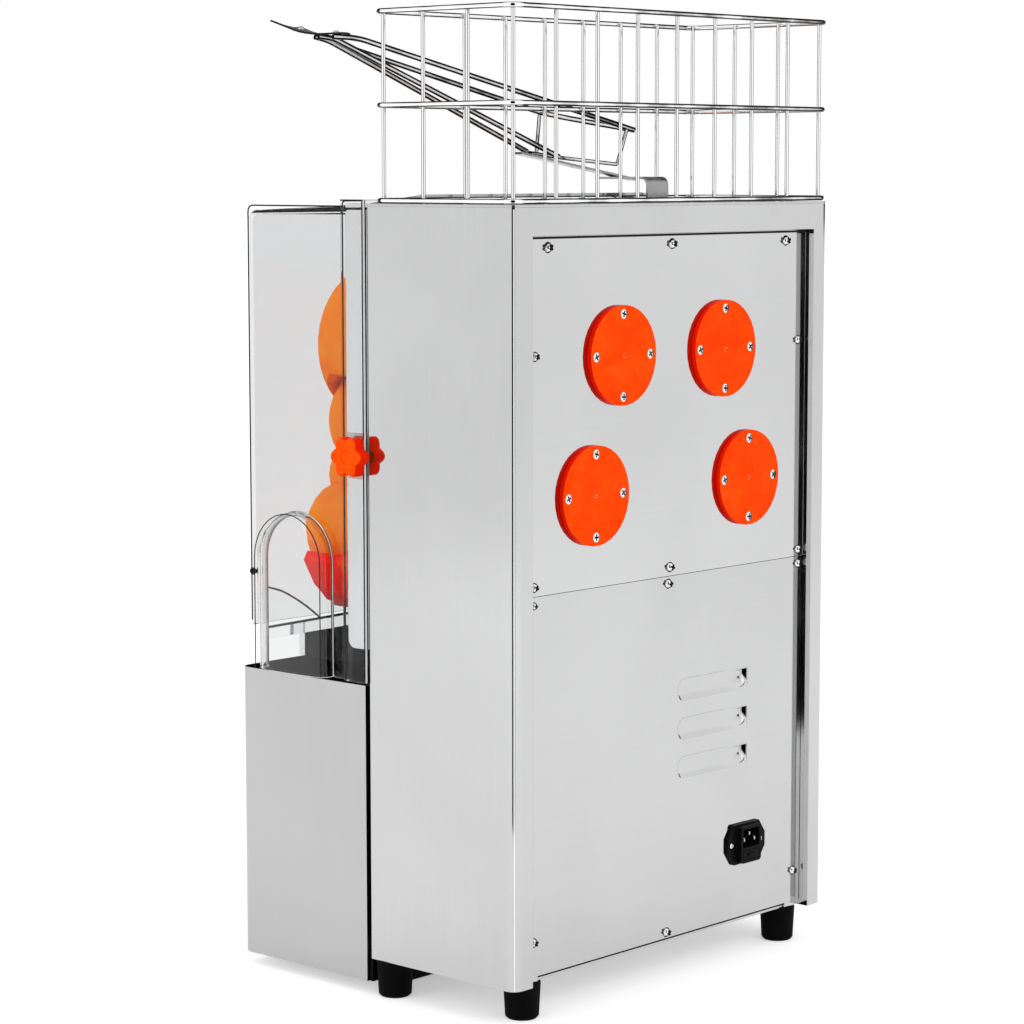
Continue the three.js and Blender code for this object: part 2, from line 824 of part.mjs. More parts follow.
// A lanced louvre: the sheet leans inward from its lower bend to a sheared upper edge. Its right
// end is cut free and open, and its left end runs back into the panel.
function louvre(topZ) {
  const bottomZ = topZ - louvreHeight;
  const width = louvreLeft - louvreRight;
  const point = (column, row, back) => {
    const shareX = column / louvreColumns;
    const shareZ = row / louvreRows;
    const edge = (1 - shareX) / louvreEndShare;
    const end = Math.sin(Math.min(edge, 1) * quarterTurn);
    const rise = (shareZ - louvreBendStartShare) / (louvreBendEndShare - louvreBendStartShare);
    const bend = Math.sin(Math.max(0, Math.min(1, rise)) * quarterTurn);
    const depth = louvreDepth * end * bend * bend;
    const thick = back ? louvreSheet : 0;
    return [louvreRight + width * shareX, panelY - depth - thick, bottomZ + louvreHeight * shareZ];
  };
  const loops = [];
  for (let column = 0; column <= louvreColumns; column += 1) {
    const face = Array.from({ length: louvreRows + 1 }, (_, row) => point(column, row, false));
    const rear = Array.from({ length: louvreRows + 1 }, (_, row) => point(column, louvreRows - row, true));
    loops.push([...face, ...rear]);
  }
  return loft(loops);
}

function rearLowerPanel() {
  const bottomGap = fit;
  const sheetBody = panelSheet(lowerPanelBottom, seamZ - fit);
  const slots = louvreTops.map((top) => box(louvreRight + overlap, louvreLeft - overlap, -far, far,
    top - louvreHeight + overlap, top + bottomGap));
  const inletHole = box(inletX - inletCutX, inletX + inletCutX, -far, far,
    inletZ + inletFaceBottom - fit, inletZ + inletFaceTop + fit);
  return join([cut(sheetBody, [...slots, inletHole]), ...louvreTops.map(louvre)]);
}

// ---------------------------------------------------------------- drum train pieces
function bearingCap({ x, z }) {
  const back = panelY + fit;
  const face = back + capDepth;
  const boss = panelY - sheet - capBossDepth;
  const disc = join([rodY(x, z, capRadius, back, face, capSides),
    rodY(x, z, capBossRadius, boss, back + overlap)]);
  const bore = rodY(x, z, shaftRadius + fit, -far, shaftRear + fit);
  const screws = Array.from({ length: capScrewCount }, (_, k) => {
    const turn = quarterTurn * k;
    return turnY([[0, face - capScrewDepth], [capScrewRadius - capScrewDepth, face - capScrewDepth],
      [capScrewRadius, face + overlap], [0, face + overlap]],
    x + capScrewCircle * Math.cos(turn), z + capScrewCircle * Math.sin(turn), screwSides);
  });
  const centre = rodY(x, z, capCentreRadius, face - capCentreDepth, far, screwSides);
  return cut(disc, [bore, ...screws, centre]);
}

const capSides = 34;

function drumShaft({ x, z }) {
  return rodY(x, z, shaftRadius, shaftFront, shaftRear, coarseSides);
}

// Radius of the pressing ball at a depth y, from its flat front to its rear neck.
function ballRadiusAt(y) {
  if (y < ballFront + ballEdge) {
    const share = (ballFront + ballEdge - y) / ballEdge;
    return ballFrontRadius + (ballRadius - ballFrontRadius) * Math.sqrt(1 - share * share);
  }
  if (y < ballTaperY) return ballRadius;
  const share = Math.min((y - ballTaperY) / (ballRear - ballTaperY), 1);
  return ballRearRadius + (ballRadius - ballRearRadius) * Math.sqrt(1 - share * share);
}

const ballStations = [0, 0.015, 0.04, 0.075, 0.585, 0.76, 0.9, 0.97, 1];

function ball(x, z, turn) {
  const profile = [[0, ballFront]];
  ballStations.forEach((share) => {
    const y = ballFront + (ballRear - ballFront) * share;
    profile.push([ballRadiusAt(y), y]);
  });
  profile.push([0, ballRear]);
  const cx = x + ballOffset * Math.cos(turn);
  const cz = z + ballOffset * Math.sin(turn);
  return turnY(profile, cx, cz, ballSides);
}

const ballSides = 24;

function ballDrum(x, z) {
  const hub = rodY(x, z, hubRadius, ballFront, drumRear);
  const collar = rodY(x, z, collarRadius, drumRear - collarDepth, drumRear);
  const body = join([hub, collar, ball(x, z, wallTilt), ball(x, z, wallTilt + Math.PI)]);
  return cut(body, [rodY(x, z, shaftRadius + fit, shaftFront - fit, far, coarseSides)]);
}

// Cup outline, as the shape that a ball of this radius sweeps in the turning cup drum.
// Angles are measured from the line through the cup; the outline runs out past the rim.
function cupOutline(radius) {
  const points = [];
  for (let k = 0; k <= cupRays; k += 1) {
    const ray = -cupReach + twice * cupReach * k / cupRays;
    let nearest = cupRadius + cupOver;
    for (let step = -sweepSteps; step <= sweepSteps; step += 1) {
      const phase = sweepReach * step / sweepSteps;
      const cx = axisSpan * Math.cos(phase) - ballOffset * Math.cos(twice * phase);
      const cy = axisSpan * Math.sin(phase) - ballOffset * Math.sin(twice * phase);
      const along = cx * Math.cos(ray) + cy * Math.sin(ray);
      const off = cx * cx + cy * cy - along * along;
      const reach = radius * radius - off;
      if (reach > 0) nearest = Math.min(nearest, along - Math.sqrt(reach));
    }
    points.push([nearest * Math.cos(ray), nearest * Math.sin(ray)]);
  }
  const outer = cupRadius + cupOver + cupOver;
  for (let k = cupRays; k >= 0; k -= cupRimStep) {
    const ray = -cupReach + twice * cupReach * k / cupRays;
    points.push([outer * Math.cos(ray), outer * Math.sin(ray)]);
  }
  return points;
}

const cupRays = 20;
const cupRimStep = 5;
const cupReach = 60 * degree;
const cupOver = 6;
const sweepSteps = 60;
const sweepReach = 80 * degree;
const cupStations = [0, 0.025, 0.075, 0.585, 0.76, 0.9, 1];

function cup(x, z, turn) {
  const loops = cupStations.map((share) => {
    const y = ballFront - ballGap + (ballRear - ballFront + twice * ballGap) * share;
    const clamped = Math.min(Math.max(y, ballFront), ballRear);
    return cupOutline(ballRadiusAt(clamped) + ballGap).map(([a, b]) => [
      x + a * Math.cos(turn) - b * Math.sin(turn), y, z + a * Math.sin(turn) + b * Math.cos(turn)]);
  });
  return loft(loops);
}

function cupDrum(x, z) {
  const body = turnY([[0, cupFront], [cupRadius - cupEdge, cupFront], [cupRadius, cupFront + cupEdge],
    [cupRadius, drumRear - cupEdge * half], [cupRadius - cupEdge * half, drumRear], [0, drumRear]],
  x, z, capSides);
  return cut(body, [cup(x, z, wallTilt), cup(x, z, wallTilt + Math.PI),
    rodY(x, z, shaftRadius + fit, shaftFront - fit, far, coarseSides)]);
}

// The left drums are the mirror image of the right ones.
function pressDrum({ z, side, cup: upper }) {
  const drum = upper ? cupDrum(upperX, z) : ballDrum(lowerX, z);
  return side > 0 ? drum : mirrorX(drum);
}

function involute(baseRadius, radius) {
  const ratio = Math.max(radius / baseRadius, 1);
  const roll = Math.sqrt(ratio * ratio - 1);
  return roll - Math.atan(roll);
}

// Gear outline with a tooth centred on the angle start.
function gearOutline(count, size, x, z, start) {
  const pitch = count * size * half;
  const base = pitch * Math.cos(pressureAngle);
  const tip = pitch + size * addendumShare;
  const root = pitch - size * dedendumShare;
  const halfTooth = quarterTurn / count - backlash * half / pitch + involute(base, pitch);
  const radii = [root, tip];
  const points = [];
  for (let tooth = 0; tooth < count; tooth += 1) {
    const centre = start + fullTurn * tooth / count;
    const flank = radii.map((radius) => [radius, halfTooth - involute(base, radius)]);
    flank.forEach(([radius, turn]) => points.push([radius, centre - turn]));
    [...flank].reverse().forEach(([radius, turn]) => points.push([radius, centre + turn]));
  }
  return points.map(([radius, turn]) => [x + radius * Math.cos(turn), z + radius * Math.sin(turn)]);
}

const toothStep = fullTurn / teeth;

function drumGear({ x, z, side, cup: upper }) {
  const inward = side > 0 ? Math.PI : 0;
  const toLower = side > 0 ? wallTilt + Math.PI : -wallTilt;
  const toUpper = side > 0 ? wallTilt : Math.PI - wallTilt;
  const hub = rodY(x, z, gearHubRadius, gearHubFront, gearHubRear);
  const parts = [hub];
  if (upper) {
    const crossStart = side > 0 ? inward : inward + toothStep * half;
    parts.push(prismY(gearOutline(teeth, crossModule, x, z, crossStart), crossGearFront, crossGearRear));
    parts.push(prismY(gearOutline(teeth, downModule, x, z, toLower), downGearFront, downGearRear));
  } else {
    parts.push(prismY(gearOutline(teeth, downModule, x, z, toUpper + toothStep * half),
      downGearFront, downGearRear));
  }
  return cut(join(parts), [rodY(x, z, shaftRadius + fit, -far, far, coarseSides)]);
}

function motorPinion() {
  const toPinion = Math.atan2(pinionZ - lowerZ, pinionX - lowerX);
  const lag = toPinion - wallTilt;
  const gapOffset = lag - Math.round(lag / toothStep) * toothStep;
  const start = toPinion + Math.PI + gapOffset * teeth / pinionTeeth;
  const wheel = prismY(gearOutline(pinionTeeth, downModule, pinionX, pinionZ, start), downGearFront, downGearRear);
  const stub = rodY(pinionX, pinionZ, motorShaftRadius, downGearFront - fit, motorPlateRear + motorSocket,
    coarseSides);
  return join([wheel, stub]);
}

function gearMotor() {
  const start = motorPlateRear + fit;
  const gearbox = prismY(roundedRect(pinionX - gearboxX, pinionX + gearboxX, pinionZ - gearboxZ,
    pinionZ + gearboxZ, [gearboxCorner, gearboxCorner, gearboxCorner, gearboxCorner]), start, gearboxRear);
  const can = rodY(pinionX, pinionZ, motorRadius, gearboxRear - overlap, motorRear, capSides);
  const socket = rodY(pinionX, pinionZ, motorShaftRadius + fit, -far, start + motorSocket, coarseSides);
  return cut(join([gearbox, can]), [socket]);
}

const gearboxCorner = 8;

function motorPlate() {
  const plate = box(-motorPlateX, motorPlateX, motorPlateFront, motorPlateRear, motorPlateBottom, motorPlateTop);
  const side = box(motorPlateX - sheet * twice, motorPlateX, motorPlateFront, motorPlateRear + motorPlateFlange,
    motorPlateBottom, motorPlateTop);
  return cut(join([plate, side, mirrorX(side)]), [rodY(pinionX, pinionZ, motorShaftHole, -far, far)]);
}

function bearingPlate() {
  const plate = prismY(roundedRect(-bearingPlateX, bearingPlateX, bearingPlateBottom, bearingPlateTop,
    [bearingPlateCorner, bearingPlateCorner, bearingPlateCorner, bearingPlateCorner]),
  bearingPlateFront, bearingPlateRear);
  return cut(plate, drums.map((drum) => rodY(drum.x, drum.z, shaftRadius + fit, -far, far, coarseSides)));
}

// ---------------------------------------------------------------- knife and juice path
const wallFace = frontY - fit;

function knifeHolder() {
  const web = box(-knifeHolderX, knifeHolderX, knifeHolderFront, wallFace - overlap, knifeHolderBottom,
    knifeHolderTop);
  const flange = box(-knifeFlangeX, knifeFlangeX, wallFace - knifeFlangeDepth, wallFace, knifeFlangeBottom,
    knifeFlangeTop);
  return cut(join([web, flange]), [box(-knifeSlotX, knifeSlotX, knifeFront - fit, knifeRear + fit,
    knifeSlotBottom, far)]);
}

function knife() {
  return prismY([[-knifeX, knifeSlotBottom + fit], [knifeX, knifeSlotBottom + fit],
    [knifeX, knifeTop - knifeBevel], [0, knifeTop], [-knifeX, knifeTop - knifeBevel]], knifeFront, knifeRear);
}

function peelScraper() {
  const radius = ballOffset + ballRadius + scraperGap;
  const arc = Array.from({ length: scraperSteps + 1 }, (_, k) => {
    const turn = scraperStart + (scraperEnd - scraperStart) * k / scraperSteps;
    return [lowerX + radius * Math.cos(turn), lowerZ + radius * Math.sin(turn)];
  });
  return prismY([...arc, ...scraperOuter].reverse(), scraperFront, wallFace);
}

function juiceFunnel() {
  const outer = box(-juiceX, juiceX, funnelFront, tankRear, funnelBottom, funnelTop);
  const mouthFront = (funnelFront + tankRear) * half - funnelMouthY;
  const mouthRear = (funnelFront + tankRear) * half + funnelMouthY;
  const rimLoop = (x, y0, y1, z) => [[-x, y0, z], [x, y0, z], [x, y1, z], [-x, y1, z]];
  const hollow = loft([
    rimLoop(funnelMouthX, mouthFront, mouthRear, funnelBottom - overlap),
    rimLoop(funnelMouthX, mouthFront, mouthRear, funnelBottom + overlap),
    rimLoop(juiceX - funnelSheet, funnelFront + funnelSheet, tankRear - funnelSheet, funnelBottom + funnelSlope),
    rimLoop(juiceX - funnelSheet, funnelFront + funnelSheet, tankRear - funnelSheet, funnelTop + overlap),
  ]);
  const back = box(-tankBackX, tankBackX, tankRear - overlap, wallFace, funnelBottom, funnelTop);
  return join([cut(outer, [hollow]), back]);
}

function filterBox() {
  const outer = box(-juiceX, juiceX, filterFront, filterRear, filterBottom, filterTop);
  const hollow = box(-juiceX + sheet, juiceX - sheet, filterFront + sheet, filterRear - sheet,
    filterBottom + sheet, far);
  const span = juiceX - filterFlange - filterFlange;
  const slots = Array.from({ length: filterSlotCount }, (_, k) => {
    const x = -span + twice * span * k / (filterSlotCount - 1);
    return box(x - filterSlotHalf, x + filterSlotHalf, filterFront + filterFlange, filterRear - filterFlange,
      -far, far);
  });
  const middleZ = (filterBottom + filterTop) * half;
  const handle = cut(
    box(-filterHandleX, filterHandleX, filterFront - filterHandleReach, filterFront + overlap,
      middleZ - filterHandleZ, middleZ + filterHandleZ),
    [box(-filterHandleX + filterHandleZ * half, filterHandleX - filterHandleZ * half,
      filterFront - filterHandleReach + filterHandleZ * half, filterFront, -far, far)]);
  return join([cut(outer, [hollow, ...slots]), handle]);
}

function juiceTank() {
  const outer = box(-juiceX, juiceX, tankFront, tankRear, tankBottom, tankTop);
  const hollow = box(-juiceX + sheet, juiceX - sheet, tankFront + sheet, tankRear - sheet, tankBottom + sheet,
    far);
  const back = box(-tankBackX, tankBackX, tankRear - overlap, wallFace, tankBottom, tankBackTop);
  const hole = rodY(0, tapHoleZ, tapHoleRadius, tankFront - overlap, tankFront + sheet + overlap);
  return join([cut(outer, [hollow, hole]), back]);
}

function tapBody() {
  const front = tankFront - fit;
  const pipe = rodY(0, tapHoleZ, tapRadius, tapSpoutY, tankFront + sheet + tapFlangeDepth, coarseSides);
  const flange = rodY(0, tapHoleZ, tapFlangeRadius, front - tapFlangeDepth, front, coarseSides);
  const nut = rodY(0, tapHoleZ, tapFlangeRadius, tankFront + sheet + fit, tankFront + sheet + tapFlangeDepth,
    tapNutSides);
  const spout = rodZ(0, tapSpoutY, tapSpoutRadius, tapSpoutBottom, tapSpoutTop, coarseSides);
  const bore = rodZ(0, tapSpoutY, tapBore, -far, tapHoleZ, coarseSides);
  const channel = rodY(0, tapHoleZ, tapBore, tapSpoutY, far, coarseSides);
  const stemHole = rodZ(0, tapSpoutY, tapStemRadius + fit, tapHoleZ + tapRadius, far, coarseSides);
  return cut(join([pipe, flange, nut, spout]), [bore, channel, stemHole]);
}

const tapNutSides = 6;

function tapLever() {
  const stem = rodZ(0, tapSpoutY, tapStemRadius, tapHoleZ + tapRadius + fit, tapLeverStart, coarseSides);
  const hub = rodZ(0, tapSpoutY, tapLeverHubRadius, tapSpoutTop + fit, tapLeverTop - tapLeverWidth);
  const blade = box(0, tapLeverLength, tapSpoutY - tapLeverWidth * half, tapSpoutY + tapLeverWidth * half,
    tapLeverStart, tapLeverTop);
  const grip = box(tapLeverLength - tapLeverWidth * twice, tapLeverLength, tapSpoutY - tapLeverWidth,
    tapSpoutY + tapLeverWidth, tapLeverStart, tapLeverTop);
  return join([stem, hub, blade, grip]);
}

// ---------------------------------------------------------------- bins and trays
function peelBin() {
  const outline = (inset, radius) => roundedRect(binInnerX + inset, sideX - inset, binFront + inset,
    binRear - inset, [fit, fit, radius, radius]);
  const outer = prismZ(outline(0, binCorner), binBottom, binTop);
  const hollow = prismZ(outline(binSheet, binCorner - binSheet), binBottom + binSheet, far);
  return cut(outer, [hollow]);
}

function binShelf() {
  const skirt = box(-skirtX, skirtX, wallFace - skirtThick, wallFace, binBottom, skirtTop);
  const neck = box(-shelfX, shelfX, wallFace - skirtThick, wallFace, shelfBottom, skirtTop);
  const plate = box(-shelfX, shelfX, shelfFront, wallFace, shelfBottom, shelfTop);
  return join([skirt, neck, plate]);
}

function dripTray() {
  const outer = box(-trayX, trayX, trayFront, trayRear, binBottom, trayTop);
  const hollow = box(-trayX + traySheet, trayX - traySheet, trayFront + traySheet, trayRear - traySheet,
    binBottom + traySheet, far);
  const ledge = cut(
    box(-trayX, trayX, trayFront, trayRear, trayTop - gridThick - traySheet, trayTop - gridThick),
    [box(-trayX + traySheet * twice, trayX - traySheet * twice, trayFront + traySheet * twice,
      trayRear - traySheet * twice, -far, far)]);
  return join([cut(outer, [hollow]), ledge]);
}

function dripGrid() {
  const edge = traySheet + fit;
  const plate = box(-trayX + edge, trayX - edge, trayFront + edge, trayRear - edge, trayTop - gridThick + fit,
    trayTop + fit);
  const span = trayX - edge - gridSlotMargin;
  const slots = Array.from({ length: gridSlotCount }, (_, k) => {
    const x = -span + twice * span * k / (gridSlotCount - 1);
    return box(x - gridSlotWidth * half, x + gridSlotWidth * half, trayFront + gridSlotMargin,
      trayRear - gridSlotMargin, -far, far);
  });
  return cut(plate, slots);
}

// ---------------------------------------------------------------- front cover
function coverProfile(inset) {
  const front = coverFront + inset;
  const top = coverTopFront - inset;
  const radius = coverNose - inset;
  const nose = Array.from({ length: coverNoseSteps + 1 }, (_, k) => {
    const turn = quarterTurn * k / coverNoseSteps;
    return [front + radius - radius * Math.cos(turn), top - radius + radius * Math.sin(turn)];
  });
  const rear = inset > 0 ? far : flangeFront + coverThick;
  const bottom = inset > 0 ? -far : coverBottom;
  return [[rear, bottom], [rear, coverTopRear - inset], ...[...nose].reverse(), [front, bottom]].reverse();
}

function hoodArch(shrink) {
  const radiusY = hoodHalfY - shrink;
  const points = [[hoodCentreY - radiusY, -far], [hoodCentreY + radiusY, -far]];
  for (let k = 0; k <= hoodSteps; k += 1) {
    const turn = Math.PI * k / hoodSteps;
    points.push([hoodCentreY + radiusY * Math.cos(turn), hoodSpring + radiusY * Math.sin(turn)]);
  }
  return points;
}

function frontCover() {
  const shell = cut(prismX(coverProfile(0), -coverX, coverX),
    [prismX(coverProfile(coverThick), -coverX + coverThick, coverX - coverThick)]);
  const flangeShape = (inset) => [[-flangeX + inset, -far], [flangeX - inset, -far],
    [flangeX - inset, flangeTop - inset], [-flangeX + inset, flangeTop - inset]];
  const web = cut(prismY(flangeShape(0), flangeFront, flangeFront + coverThick),
    [box(-coverX + coverThick, coverX - coverThick, -far, far, -far, coverTopRear - coverThick)]);
  const strip = cut(prismY(flangeShape(0), flangeFront, flangeRear),
    [prismY(flangeShape(coverThick), -far, far)]);
  let cover = join([shell, web, strip]);
  const lowFront = box(-far, far, -far, coverCutY, -far, coverFrontBottom);
  const below = box(-far, far, -far, far, -far, coverBottom);
  const arch = prismX(hoodArch(hoodRim), -far, far);
  const feedHole = rodZ(0, feedHoleY, feedHoleRadius, coverTopFront - coverNose, far, feedHoleSides);
  const slots = box(-far, far, knobY - slotHalf, far, knobZ - slotHalf, knobZ + slotHalf);
  return cut(cover, [lowFront, below, arch, feedHole, slots]);
}

function hoodSolid(radiusY, bulge, bottom, inner) {
  const loops = [];
  const levels = [bottom, hoodSpring];
  for (let k = 1; k < hoodLevels; k += 1) levels.push(hoodSpring + radiusY * Math.sin(quarterTurn * k / hoodLevels));
  levels.push(hoodSpring + radiusY * tipShare);
  const base = coverX + fit - (inner ? overlap : 0);
  levels.forEach((z) => {
    const rise = Math.max(z - hoodSpring, 0) / radiusY;
    const share = Math.sqrt(1 - rise * rise);
    const loop = [];
    for (let k = 0; k <= hoodSteps; k += 1) {
      const turn = Math.PI * k / hoodSteps;
      loop.push([base + overlap * (inner ? 1 : 0) + bulge * share * Math.sin(turn) ** hoodFullness,
        hoodCentreY + radiusY * share * Math.cos(turn), z]);
    }
    if (inner) {
      loop.push([base, hoodCentreY - radiusY * share, z]);
      loop.push([base, hoodCentreY + radiusY * share, z]);
    }
    loops.push(loop);
  });
  return loft(loops);
}

const tipShare = 0.9985;
const hoodFullness = 0.8;

function peelHood() {
  const outer = hoodSolid(hoodHalfY, hoodBulge, hoodBottom, false);
  const inner = hoodSolid(hoodHalfY - hoodWall, hoodBulge - hoodWall, hoodBottom - overlap, true);
  return cut(outer, [inner]);
}

function knobStud() {
  const inner = studPlateX - studPlateThick;
  const plate = box(inner, studPlateX, studPlateFront, wallFace - overlap, knobZ - studPlateHalf,
    knobZ + studPlateHalf);
  const ankle = box(studPlateX - studFootWidth, studPlateX, wallFace - studPlateThick, wallFace,
    knobZ - studPlateHalf, knobZ + studPlateHalf);
  const stud = rodX(knobY, knobZ, studRadius, inner, studReach, coarseSides);
  return join([plate, ankle, stud]);
}

function knobOutline() {
  return Array.from({ length: knobPoints }, (_, k) => {
    const turn = fullTurn * k / knobPoints;
    const wave = (1 + Math.cos(turn * knobLobes)) * half;
    const radius = knobWaist + (knobRadius - knobWaist) * wave ** knobFullness;
    return [radius * Math.cos(turn), radius * Math.sin(turn)];
  });
}

const knobFullness = 0.6;

function coverKnob() {
  const x0 = flangeX + fit;
  const x1 = x0 + knobDepth;
  const outline = knobOutline();
  const level = (x, share) => outline.map(([y, z]) => [x, knobY + y * share, knobZ + z * share]);
  const edgeShare = 1 - knobBevel / knobRadius;
  const body = loft([level(x0, edgeShare), level(x0 + knobBevel, 1), level(x1 - knobBevel, 1),
    level(x1, edgeShare)]);
  const bore = rodX(knobY, knobZ, knobBore, -far, x0 + knobBoreDepth, coarseSides);
  const dimple = rodX(knobY, knobZ, knobDimple, x1 - knobDimpleDepth, far, coarseSides);
  return cut(body, [bore, dimple]);
}

function coverBumper() {
  return turnY([[0, coverFront - fit], [bumperRadius, coverFront - fit],
    [bumperRadius, coverFront - fit - bumperDepth * half], [bumperRadius * half, coverFront - fit - bumperDepth],
    [0, coverFront - fit - bumperDepth]], bumperX, bumperZ, coarseSides);
}

// ---------------------------------------------------------------- power inlet and switch
function inletBody() {
  const back = panelY + fit;
  const plateFace = back + inletFlange;
  const hex = [[-inletFlangeX, -inletPointZ], [-inletFlatX, -inletFlangeZ], [inletFlatX, -inletFlangeZ],
    [inletFlangeX, -inletPointZ], [inletFlangeX, inletPointZ], [inletFlatX, inletFlangeZ],
    [-inletFlatX, inletFlangeZ], [-inletFlangeX, inletPointZ]].map(([a, b]) => [inletX + a, inletZ + b]);
  const flange = prismY(hex, back, plateFace);
  const corner = inletFaceCorner;
  const face = prismY(roundedRect(inletX - inletFaceX, inletX + inletFaceX, inletZ + inletFaceBottom,
    inletZ + inletFaceTop, [corner, corner, corner, corner]), inletBackY, plateFace + inletFaceDepth);
  const pocket = prismY(roundedRect(inletX - inletPocketX, inletX + inletPocketX, inletZ + inletPocketBottom,
    inletZ + inletPocketTop, [corner, corner, corner * half, corner * half]),
  plateFace + inletFaceDepth - inletPocketDepth, far);
  const fuseWell = box(inletX - fuseX - fit, inletX + fuseX + fit, plateFace + inletFaceDepth - fuseDepth - fit,
    far, inletZ + fuseBottom - fit, inletZ + fuseTop + fit);
  const screws = [-inletScrewX, inletScrewX].map((x) => rodY(inletX + x, inletZ, inletScrewRadius,
    plateFace - inletScrewDepth, far, coarseSides));
  return cut(join([flange, face]), [pocket, fuseWell, ...screws]);
}

function fuseDrawer() {
  const face = panelY + fit + inletFlange + inletFaceDepth;
  const block = box(inletX - fuseX, inletX + fuseX, face - fuseDepth, face, inletZ + fuseBottom,
    inletZ + fuseTop);
  const middle = inletZ + (fuseBottom + fuseTop) * half;
  const grip = box(inletX - fuseGripX, inletX + fuseGripX, face - overlap, face + fuseGripDepth,
    middle - fuseGripZ, middle + fuseGripZ);
  return join([block, grip]);
}

function switchHousing() {
  const outside = -sideX - fit;
  const flange = box(outside - switchFlange, outside, switchY - switchHalfY, switchY + switchHalfY,
    switchZ - switchHalfZ, switchZ + switchHalfZ);
  const body = box(outside - overlap, outside + switchBodyDepth, switchY - switchBodyY, switchY + switchBodyY,
    switchZ - switchBodyZ, switchZ + switchBodyZ);
  const well = box(-far, outside + switchWellDepth, switchY - switchWellY, switchY + switchWellY,
    switchZ - switchWellZ, switchZ + switchWellZ);
  return cut(join([flange, body]), [well]);
}

function switchRocker() {
  const face = -sideX - fit - switchFlange;
  const profile = [[face - rockerProud, switchZ - rockerHalfZ], [face - rockerValley, switchZ],
    [face, switchZ + rockerHalfZ], [face + rockerBack, switchZ + rockerHalfZ * half],
    [face + rockerBack, switchZ - rockerHalfZ * half]];
  return prismY([...profile].reverse(), switchY - rockerHalfY, switchY + rockerHalfY);
}

// ---------------------------------------------------------------- basket and ramp
function fruitBasket() {
  const corners = [basketCorner, basketCorner, basketCorner, basketCorner];
  const ringLine = roundedRect(-basketX, basketX, basketFront, basketRear, corners);
  const rings = ringHeights.map((height) => wire(
    ringLine.map(([x, y]) => [x, y, topPlateTop - topPlateThick + height]), ringRadius, true));
  const low = topPlateTop - topPlateThick + ringHeights[0] - wirePoke;
  const high = topPlateTop - topPlateThick + basketHeight + wireTopPoke;
  const wires = [];
  const longX = basketX - wireInset;
  for (let k = 1; k < wirePitchCount; k += 1) {
    const x = -longX + twice * longX * k / wirePitchCount;
    wires.push([x, basketRear - wireInset], [x, basketFront + wireInset]);
  }
  const sideRear = basketRear - wireInset;
  const sideFront = basketFront + wireInset;
  for (let k = 1; k < sideWireCount; k += 1) {
    const y = sideFront + (sideRear - sideFront) * k / sideWireCount;
    wires.push([longX, y], [-longX, y]);
  }
  const cornerReach = (basketCorner - wireInset) * (1 - Math.SQRT1_2);
  [1, -1].forEach((sign) => {
    wires.push([sign * (longX - cornerReach), sideRear - cornerReach]);
    wires.push([sign * (longX - cornerReach), sideFront + cornerReach]);
  });
  return join([...rings, ...wires.map(([x, y]) => wire([[x, y, low], [x, y, high]], wireRadius))]);
}

function rampPoint([along, across, height]) {
  const [x0, y0] = rampOrigin;
  const cosine = Math.cos(rampHeading);
  const sine = Math.sin(rampHeading);
  return [x0 + along * cosine - across * sine, y0 + along * sine + across * cosine, rampBase + height];
}

function rampPlate() {
  const loops = platePath.map(([along, height]) => {
    const taper = Math.max(along - plateTaperStart, 0) / (platePath[platePath.length - 1][0] - plateTaperStart);
    const wide = plateHalf - (plateHalf - plateTipHalf) * taper * taper;
    return [[along, -wide, height], [along, wide, height], [along, wide, height - plateThick],
      [along, -wide, height - plateThick]].map(rampPoint);
  });
  return loft(loops);
}

function feedRamp() {
  const rods = [railNear, railFar, floorNear, floorFar].map((path) => wire(path.map(rampPoint), rodRadius));
  const ties = [lowerTie, leftStrut, rightStrut].map((path) => wire(path.map(rampPoint), strutRadius));
  return join([...rods, ...ties, rampPlate()]);
}

function rampBracket() {
  const strap = loft([strapStart, strapEnd].map(([along, height]) => [
    [along, -strapHalf, height], [along, strapHalf, height],
    [along, strapHalf, height - strapThick], [along, -strapHalf, height - strapThick]].map(rampPoint)));
  const top = bodyHeight + bracketTop;
  const foot = topPlateTop + fit;
  const bend = (cy, cz, radius, start) => Array.from({ length: bendSteps + 1 }, (_, k) => {
    const turn = start - quarterTurn * k / bendSteps;
    return [cy + radius * Math.cos(turn), cz + radius * Math.sin(turn)];
  });
  const outerBend = bend(bracketRear - bracketBend, top - bracketBend, bracketBend, quarterTurn);
  const innerBend = bend(bracketRear - bracketBend, top - bracketBend, bracketBend - strapThick, quarterTurn);
  const profile = [[bracketFront, top], ...outerBend, [bracketRear, foot + strapThick],
    [bracketFootRear, foot + strapThick], [bracketFootRear, foot], [bracketRear - strapThick, foot],
    ...[...innerBend].reverse(), [bracketFront, top - strapThick]];
  const strip = prismX([...profile].reverse(), bracketX - bracketHalf, bracketX + bracketHalf);
  return join([strap, strip]);
}

// ---------------------------------------------------------------- assembly
const group = new THREE.Group();

function place(name, solid, colour, roughness, metalness) {
  const geometry = toGeometry(solid);
  const material = new THREE.MeshStandardMaterial({ color: colour, roughness, metalness });
  material.name = name;
  const mesh = new THREE.Mesh(geometry, material);
  mesh.name = name;
  group.add(mesh);
}

const brushed = [0.35, 0.9];
const polished = [0.15, 1];
const plastic = [0.4, 0];
const rubber = [0.8, 0];

